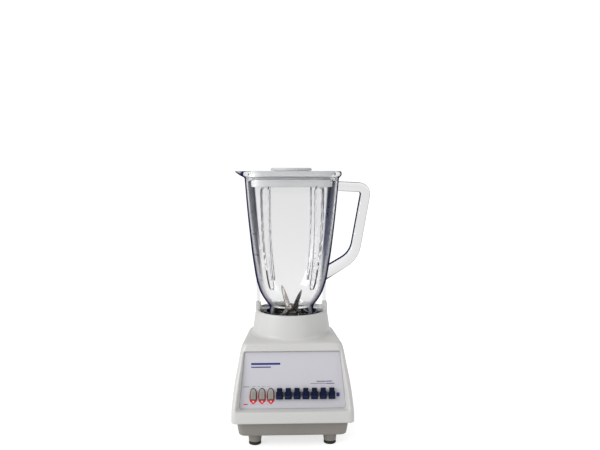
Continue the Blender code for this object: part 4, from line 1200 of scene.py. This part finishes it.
def blade_shape(middle, elbow, tip, angle):
    """A stamped blade with both cutting edges ground and two bent, pointed arms."""
    arm = []
    for share, half in ((0.0, 4.7), (0.12, 4.7), (0.45, 4.25), (0.75, 3.2), (0.92, 1.8), (1.0, 0.4)):
        arm.append((elbow[0] + (tip[0] - elbow[0]) * share, elbow[1] + (tip[1] - elbow[1]) * share, half))
    arm = [(3.6, 0.0, 4.8), (elbow[0] - 1.6, elbow[1] * 0.15, 4.8), *arm]
    path = [(-x, z, half) for x, z, half in reversed(arm)] + arm
    half_thick = BLADE_THICKNESS / 2
    rings = []
    for i, (x, z, half) in enumerate(path):
        before, after = path[max(i - 1, 0)], path[min(i + 1, len(path) - 1)]
        along = Vector((after[0] - before[0], after[1] - before[1])).normalized()
        ground = min(1.5, half * 0.6)
        edges = ((-half, 0.12), (-half + ground, 1.0), (half - ground, 1.0), (half, 0.12))
        section = [(y, share * half_thick) for y, share in edges]
        section += [(y, -share * half_thick) for y, share in reversed(edges)]
        rings.append([(x - along.y * off, y, middle + z + along.x * off) for y, off in section])
    return turned(loft(rings), angle)


def make_blades():
    """The two blades on the spindle and the domed nut."""
    lower, upper = WASHER_HIGH.z + BLADE_RISE, NUT_LOW.z - BLADE_RISE
    for name, middle, elbow, tip, angle in (
        ("lower_blade", lower, (7.0, -0.3), (24.0, -10.5), BLADE_ANGLE),
        ("upper_blade", upper, (7.0, 0.8), (22.0, 28.6), BLADE_ANGLE + math.pi / 2),
    ):
        blade = new_object(f"{name}_ground", blade_shape(middle, elbow, tip, angle))
        combine(blade, cylinder(BLADE_HOLE, middle - 6.0, middle + 6.0, sides=32))
        finish_piece(blade, BLADE_STEEL, "stainless", "blades", name)
    low, high = NUT_LOW.z, NUT_HIGH.z
    foot = low + 0.6
    dome = (
        (0, foot, 0),
        (NUT_DOME_RADIUS, foot, 0.2),
        (NUT_DOME_RADIUS, high - 1.6, 1.2),
        (1.2, high, 1.2),
        (0, high, 0),
    )
    corners = []
    for number in range(6):
        turn = math.tau * (number + 0.5) / 6
        corners.append((NUT_RADIUS * math.cos(turn), NUT_RADIUS * math.sin(turn), 0.9))
    nut = new_object("nut_dome", revolve(filleted(dome), 48))
    flats = pillow(filleted(corners, 3), low, low + NUT_HEX_HEIGHT, 0.4, 3, under=True)
    combine(nut, flats, "UNION")
    combine(nut, cylinder(BLADE_HOLE, low - 1.0, high - 2.3, sides=32))
    finish_piece(nut, BLADE_STEEL, "stainless", "blades", "blade_nut")


def make_seal():
    """The flat rubber ring, with a moulding line round its rim."""
    low, high = SEAL_LOW.z, SEAL_HIGH.z
    middle = (low + high) / 2
    inner, outer = 25.5, SEAL_HIGH.x
    corners = (
        (inner, low, 0.4),
        (outer - 0.2, low, 0.7),
        (outer, middle - 0.15, 0.1),
        (outer, middle + 0.15, 0.1),
        (outer - 0.2, high, 0.7),
        (29.6, high, 0.2),
        (29.2, high - 0.25, 0.2),
        (inner, high - 0.25, 0.5),
    )
    seal = new_object("seal_ring_soft", revolve(filleted(corners, 4), 120))
    finish_piece(seal, SEAL_RUBBER, "seal", "sealing_ring", "sealing_ring")


# ---- Jar ----


def spout_push(height, angle):
    """How far the rim moves out at a height above the jar's bottom, on the spout's side."""
    away = abs(math.pi - angle)
    if height <= SPOUT_START or away >= SPOUT_HALF_ANGLE:
        return 0.0
    rise = (height - SPOUT_START) / (JAR_HIGH.z - JAR_LOW.z - SPOUT_START)
    return SPOUT_REACH * min(rise, 1.0) ** 1.4 * math.cos(math.pi / 2 * away / SPOUT_HALF_ANGLE) ** 2


def flute_push(height, angle, radius):
    """How far one of the four flutes presses the wall in, at a height above the jar's bottom."""
    if not FLUTE_LOW < height < FLUTE_HIGH:
        return 0.0
    share = (height - FLUTE_LOW) / (FLUTE_HIGH - FLUTE_LOW)
    lean = FLUTE_LEAN_LOW + (FLUTE_LEAN_HIGH - FLUTE_LEAN_LOW) * share
    half = FLUTE_HALF_LOW + (FLUTE_HALF_HIGH - FLUTE_HALF_LOW) * share
    end = min(height - FLUTE_LOW, FLUTE_HIGH - height)
    tip = 2 * half
    if end < tip:
        half *= math.sqrt(1 - (1 - end / tip) ** 2)
    off = abs(math.atan2(math.cos(angle), abs(math.sin(angle))))
    across = (off - lean) * radius / max(half, 0.01)
    if abs(across) >= 1:
        return 0.0
    return FLUTE_DEPTH * min(1.0, end / tip + 0.3) * (1 - across**6) ** 2


def jar_angles():
    """The angles of a jar ring's points: close together over the flutes and the spout."""
    low, high = math.degrees(FLUTE_LEAN_HIGH) - 6.0, math.degrees(FLUTE_LEAN_LOW) + 6.0
    quarter = [90.0 - off for off in (0.0, 5.0, 10.0, 15.0, 20.0)]
    steps = 32
    quarter += [90.0 - low - (high - low) * i / steps for i in range(steps + 1)]
    quarter += [90.0 - off for off in (43.5, 46.0, 49.0, 53.0, 58.0, 63.0, 68.0, 73.0, 78.0, 83.0, 88.0)]
    mirrored = [180.0 - angle for angle in quarter]
    half_turn = sorted(set(quarter + mirrored))
    return [math.radians(angle + start) for start in (0.0, 180.0) for angle in half_turn]


def jar_ring(height, half, squareness, angles):
    """One ring of the jar's outside or inside, with the flutes and the spout."""
    ring = []
    for angle in angles:
        radius = superellipse_radius(half, squareness, angle)
        radius += spout_push(height, angle) - flute_push(height, angle, radius)
        ring.append((radius * math.cos(angle), radius * math.sin(angle), JAR_LOW.z + height))
    return ring


def inner_half(row):
    """The inside of a wall level of the jar."""
    height, half, squareness = row
    return (height, half - JAR_WALL - 0.5 * max(0.0, (45.0 - height) / 24.0), squareness)


def handle_shape():
    """The jar's handle, swept along its bent middle line with a rounded section."""
    corners = [Vector(corner[:2]) for corner in HANDLE_LINE]
    points = [corners[0]]
    for i, here in enumerate(corners[1:-1], 1):
        reach = HANDLE_LINE[i][2]
        start = here + (corners[i - 1] - here).normalized() * reach
        end = here + (corners[i + 1] - here).normalized() * reach
        points += bend(start, here, end, 12)
    points.append(corners[-1])
    rings = []
    for i, point in enumerate(points):
        along = (points[min(i + 1, len(points) - 1)] - points[max(i - 1, 0)]).normalized()
        thick = 6.6 + 1.6 * max(0.0, (110.0 - point.y) / 48.0)
        ring = []
        for step in range(40):
            turn = math.tau * step / 40
            reach = superellipse_radius(1.0, 4.5, turn)
            side = HANDLE_HALF_WIDTH * reach * math.cos(turn)
            off = thick * reach * math.sin(turn)
            ring.append((point.x - along.y * off, side, JAR_LOW.z + point.y + along.x * off))
        rings.append(ring)
    return loft(rings)


def foot_rib(side):
    """A foot rib: an L-shaped bar that hangs from the jar's side and turns in to its neck."""
    low = JAR_LOW.z + RIB_LOW
    top = low + RIB_LENGTH
    corners = (
        (RIB_INNER, low, 0),
        (RIB_OUTER, low, 4.0),
        (RIB_OUTER, top, 0),
        (RIB_OUTER - 4.6, top, 0),
        (RIB_OUTER - 4.6, low + 4.4, 1.2),
        (RIB_INNER, low + 4.4, 0),
    )
    return side_slab([(side * x, z) for x, z in filleted(corners)], RIB_HALF_THICKNESS, 0.5)


def make_jar():
    """The clear jar: fluted body, beaded rim with its spout, threaded neck, handle and foot ribs."""
    angles = jar_angles()
    body = smooth_rows(JAR_BODY, 2.3)
    outside = [*JAR_NECK, *body, *smooth_rows(JAR_RIM, 1.2)]
    jar = new_object("jar_body", loft([jar_ring(*row, angles) for row in outside]))
    thread = helix_ridge(NECK_THREAD_ROOT, NECK_THREAD_CREST, JAR_LOW.z + 3.5, 1.3)
    for shape in (handle_shape(), foot_rib(-1), foot_rib(1), thread, *graduations()):
        combine(jar, shape, "UNION")
    wall = [inner_half(row) for row in body[:-1] if row[0] > 24.0]
    inside = [*JAR_BORE, *wall, *smooth_rows(JAR_MOUTH, 1.2)]
    combine(jar, loft([jar_ring(*row, angles) for row in inside]))
    weld(jar)
    finish_piece(jar, CLEAR, "clear", "jar", "jar", sharp=None)
    jar.data.set_sharp_from_angle(angle=math.radians(48))


def graduations():
    """The moulded measuring marks: four short bars up each side of the front, without numbers."""
    corner = 0.3
    across = (-MARK_HALF_LENGTH, MARK_HALF_LENGTH)
    outline = slab_outline(across, (-MARK_HALF_HEIGHT, MARK_HALF_HEIGHT), corner, 3)
    shapes = []
    for height in MARK_HEIGHTS:
        below = max(row for row in JAR_BODY if row[0] <= height)
        above = min(row for row in JAR_BODY if row[0] > height)
        share = (height - below[0]) / (above[0] - below[0])
        half = below[1] + (above[1] - below[1]) * share
        squareness = below[2] + (above[2] - below[2]) * share
        for side, lean in ((-1, 50.0), (1, 48.0)):
            angle = math.radians(270.0 + side * lean)
            radius = superellipse_radius(half, squareness, angle)
            x, y = math.cos(angle), math.sin(angle)
            tilt = math.atan2(-x * abs(x) ** (squareness - 2), abs(y) ** (squareness - 1))
            mark = turned(pillow(outline, -1.2, 0.7, corner, 2), math.pi / 2, "X")
            turned(mark, -tilt)
            shapes.append(moved(mark, (radius * x, radius * y, JAR_LOW.z + height)))
    return shapes


# ---- Lid and cap ----


def make_lid():
    """The lid: a round-edged flange over a square skirt, with the filler neck in its middle."""
    top, under, skirt_low = LID_HIGH.z, LID_HIGH.z - LID_THICKNESS, LID_LOW.z
    inner = SKIRT_HALF - 2.2
    neck_low = top - 13.0
    corners = (
        (FILLER_RADIUS, top - 0.2, 0.5),
        (FILLER_RADIUS + 9.0, top - 1.0, 3.0),
        (LID_HALF - 6.0, top - 0.6, 2.0),
        (LID_HALF - 4.6, top, 0.8),
        (LID_HALF, top, 2.4),
        (LID_HALF, under, 0.9),
        (SKIRT_HALF, under, 0.7),
        (SKIRT_HALF - 0.8, skirt_low, 1.0),
        (inner - 0.9, skirt_low, 0.9),
        (inner, top - 2.6, 2.0),
        (FILLER_RADIUS + 2.2, top - 2.6, 1.2),
        (FILLER_RADIUS + 2.2, neck_low, 0.9),
        (FILLER_RADIUS, neck_low, 0.9),
    )
    rings = []
    for half, height in filleted(corners):
        share = min(1.0, max(0.0, (half - FILLER_RADIUS - 3.0) / (inner - 4.0 - FILLER_RADIUS)))
        squareness = 2.0 + 5.0 * share**1.5
        rings.append(square_ring(half, squareness, height, 160))
    lid = new_object("lid_shell", loft(rings, loop=True))
    finish_piece(lid, LID_GREY, "lid", "lid", "lid")


def make_cap():
    """The filler cap: a cup that plugs the neck, under a round flange with a dished top and grips."""
    low, high = CAP_LOW.z, CAP_HIGH.z
    under = LID_HIGH.z + 0.3
    plug = FILLER_RADIUS - 0.4
    corners = (
        (plug - 2.4, low, 0.7),
        (plug - 0.4, low, 0.9),
        (plug, low + 3.0, 0.8),
        (plug, under, 0.4),
        (CAP_FLANGE - 0.6, under, 0.3),
        (CAP_FLANGE - 0.6, high, 1.3),
        (CAP_FLANGE - 4.6, high, 0.8),
        (CAP_FLANGE - 6.4, high - 1.0, 1.2),
        (0, high - 1.2, 0),
        (0, high - 3.4, 0),
        (plug - 2.4, high - 3.4, 1.5),
    )
    shapes = [revolve(filleted(corners), 120)]
    for number in range(CAP_GRIPS):
        grip = cylinder(GRIP_RADIUS, under + 0.5, high - 1.1, (CAP_FLANGE - GRIP_RADIUS, 0.0), 12)
        shapes.append(turned(grip, math.tau * number / CAP_GRIPS))
    cap = new_object("filler_cap_cup", joined(shapes))
    finish_piece(cap, LID_GREY, "lid", "filler_cap", "filler_cap")


# ---- CAD nodes that stay, with their materials ----

KEPT_LOOKS = (
    (PLATE_STEEL, ("spindle", "blade_washer")),
    (PLAIN_STEEL, ("drive_socket", "drive_stud", "motor_shaft", "upper_bracket", "lower_bracket")),
    (PLAIN_STEEL, tuple(f"housing_screw_{number}" for number in range(1, 5))),
    (BRASS, ("spindle_bearing", "upper_bearing", "lower_bearing")),
    (BRASS, ("brush_holder_front", "brush_holder_rear")),
    (CARBON, ("brush_front", "brush_rear")),
    (LAMINATED, ("field_core", "rotor_core")),
    (WINDING, ("field_coil_left", "field_coil_right", "commutator")),
    (BLACK_MATT, ("cooling_fan", "switch_block")),
    (RUBBER, ("cord_bushing", "slinger")),
)


def dress_kept_nodes():
    """Gives the CAD nodes that stay visible their finished materials."""
    for look, names in KEPT_LOOKS:
        for name in names:
            node = frame["nodes"][name]
            node.data.materials.clear()
            node.data.materials.append(look)


# ---- Floor, lights and camera ----

CAMERA_DISTANCE = 0.90
CAMERA_HEIGHT = 0.3634
CAMERA_TILT = math.radians(4.85)
CAMERA_SIDE = 0.0122
CAMERA_TURN = math.radians(2.0)
CAMERA_LENS = 38.76
FILL = 0.69
SEEN_THROUGH = 0.79
FLOOR_GLOW = 0.7
FLOOR_SEEN_THROUGH = 0.3


def floor_look():
    """A pale floor: plain diffuse, lifted towards white where the camera sees it."""
    look = Look("pale_floor", (0.93, 0.93, 0.93), 1.0)
    diffuse = look.node("ShaderNodeBsdfDiffuse", {"Color": (0.93, 0.93, 0.93, 1.0)})
    softer = look.node("ShaderNodeBsdfDiffuse", {"Color": (0.55, 0.55, 0.55, 1.0)})
    glow = look.node("ShaderNodeEmission", {"Color": (1.0, 1.0, 1.0, 1.0), "Strength": FLOOR_GLOW})
    both = look.node("ShaderNodeAddShader", {0: softer.outputs[0], 1: glow.outputs[0]})
    rays = look.node("ShaderNodeLightPath")
    part = {0: rays.outputs["Is Transmission Ray"], 1: FLOOR_SEEN_THROUGH}
    through = look.node("ShaderNodeMath", part, operation="MULTIPLY")
    either = {0: rays.outputs["Is Camera Ray"], 1: through.outputs[0]}
    seen = look.node("ShaderNodeMath", either, operation="MAXIMUM")
    look.choose(seen.outputs[0], diffuse, both)
    return look.material


def make_stage():
    """A pale floor, and four dark upright strips that only reflections see."""
    floor = bpy.data.objects.new("floor", bpy.data.meshes.new("floor"))
    shape = bmesh.new()
    bmesh.ops.create_grid(shape, x_segments=4, y_segments=4, size=60.0)
    shape.to_mesh(floor.data)
    shape.free()
    floor.data.materials.append(floor_look())
    bpy.context.scene.collection.objects.link(floor)
    dark = Look("dark_strip", (0.004, 0.006, 0.02), 0.9).material
    for number, angle in enumerate((48.0, -48.0, 132.0, -132.0), 1):
        turn = math.radians(angle)
        strip = box((-110.0, 110.0), (-2.0, 2.0), (110.0, 760.0))
        moved(strip, (0.0, 620.0, 0.0))
        turned(strip, -turn)
        card = new_object(f"dark_strip_{number}", strip)
        card.data.materials.append(dark)
        card.visible_camera = False
        card.visible_diffuse = False
        card.visible_shadow = False
        card.visible_transmission = False


def aim(thing, point):
    """Turns a light or camera to look at a point."""
    thing.rotation_euler = (Vector(point) - thing.location).to_track_quat("-Z", "Y").to_euler()


def area_light(name, place, target, size, power):
    """A soft white panel light."""
    data = bpy.data.lights.new(name, "AREA")
    data.shape = "RECTANGLE"
    data.size, data.size_y = size
    data.energy = power
    light = bpy.data.objects.new(name, data)
    light.location = place
    bpy.context.scene.collection.objects.link(light)
    aim(light, target)


def make_lights():
    """A white surround, a key light from the upper left and a weaker one from the right."""
    world = bpy.data.worlds.new("studio")
    bpy.context.scene.world = world
    world.use_nodes = True
    tree = world.node_tree
    background = tree.nodes["Background"]
    background.inputs["Color"].default_value = (1.0, 1.0, 1.0, 1.0)
    rays = tree.nodes.new("ShaderNodeLightPath")
    strength = background.inputs["Strength"]
    for ray, amount in (("Is Transmission Ray", SEEN_THROUGH), ("Is Camera Ray", 1.02)):
        choice = tree.nodes.new("ShaderNodeMix")
        choice.inputs[2].default_value = FILL
        choice.inputs[3].default_value = amount
        tree.links.new(rays.outputs[ray], choice.inputs[0])
        tree.links.new(choice.outputs[0], strength)
        strength = choice.inputs[2]
    middle = (AXIS.x, 0.0, 0.17)
    area_light("key_light", (-1.4, -0.9, 0.85), middle, (1.0, 1.0), 18.0)
    area_light("edge_light", (1.3, -0.35, 0.9), middle, (0.4, 0.8), 3.0)


def make_camera():
    """The camera: a little above the jar's shoulder, looking slightly down along +Y."""
    data = bpy.data.cameras.new("camera")
    data.sensor_width = 36.0
    data.lens = CAMERA_LENS
    camera = bpy.data.objects.new("camera", data)
    ahead = Vector((math.sin(CAMERA_TURN), math.cos(CAMERA_TURN), 0.0))
    aside = Vector((ahead.y, -ahead.x, 0.0))
    camera.location = AXIS - ahead * CAMERA_DISTANCE + aside * CAMERA_SIDE
    camera.location.z = CAMERA_HEIGHT
    camera.rotation_euler = (math.pi / 2 - CAMERA_TILT, 0.0, -CAMERA_TURN)
    bpy.context.scene.collection.objects.link(camera)
    bpy.context.scene.camera = camera


make_housing()
make_panel()
make_print()
make_keys()
make_pan()
make_pads()
make_collar()
make_plate()
make_blades()
make_seal()
make_jar()
make_lid()
make_cap()
dress_kept_nodes()
make_stage()
make_lights()
make_camera()
bpy.context.scene.view_settings.view_transform = "Standard"
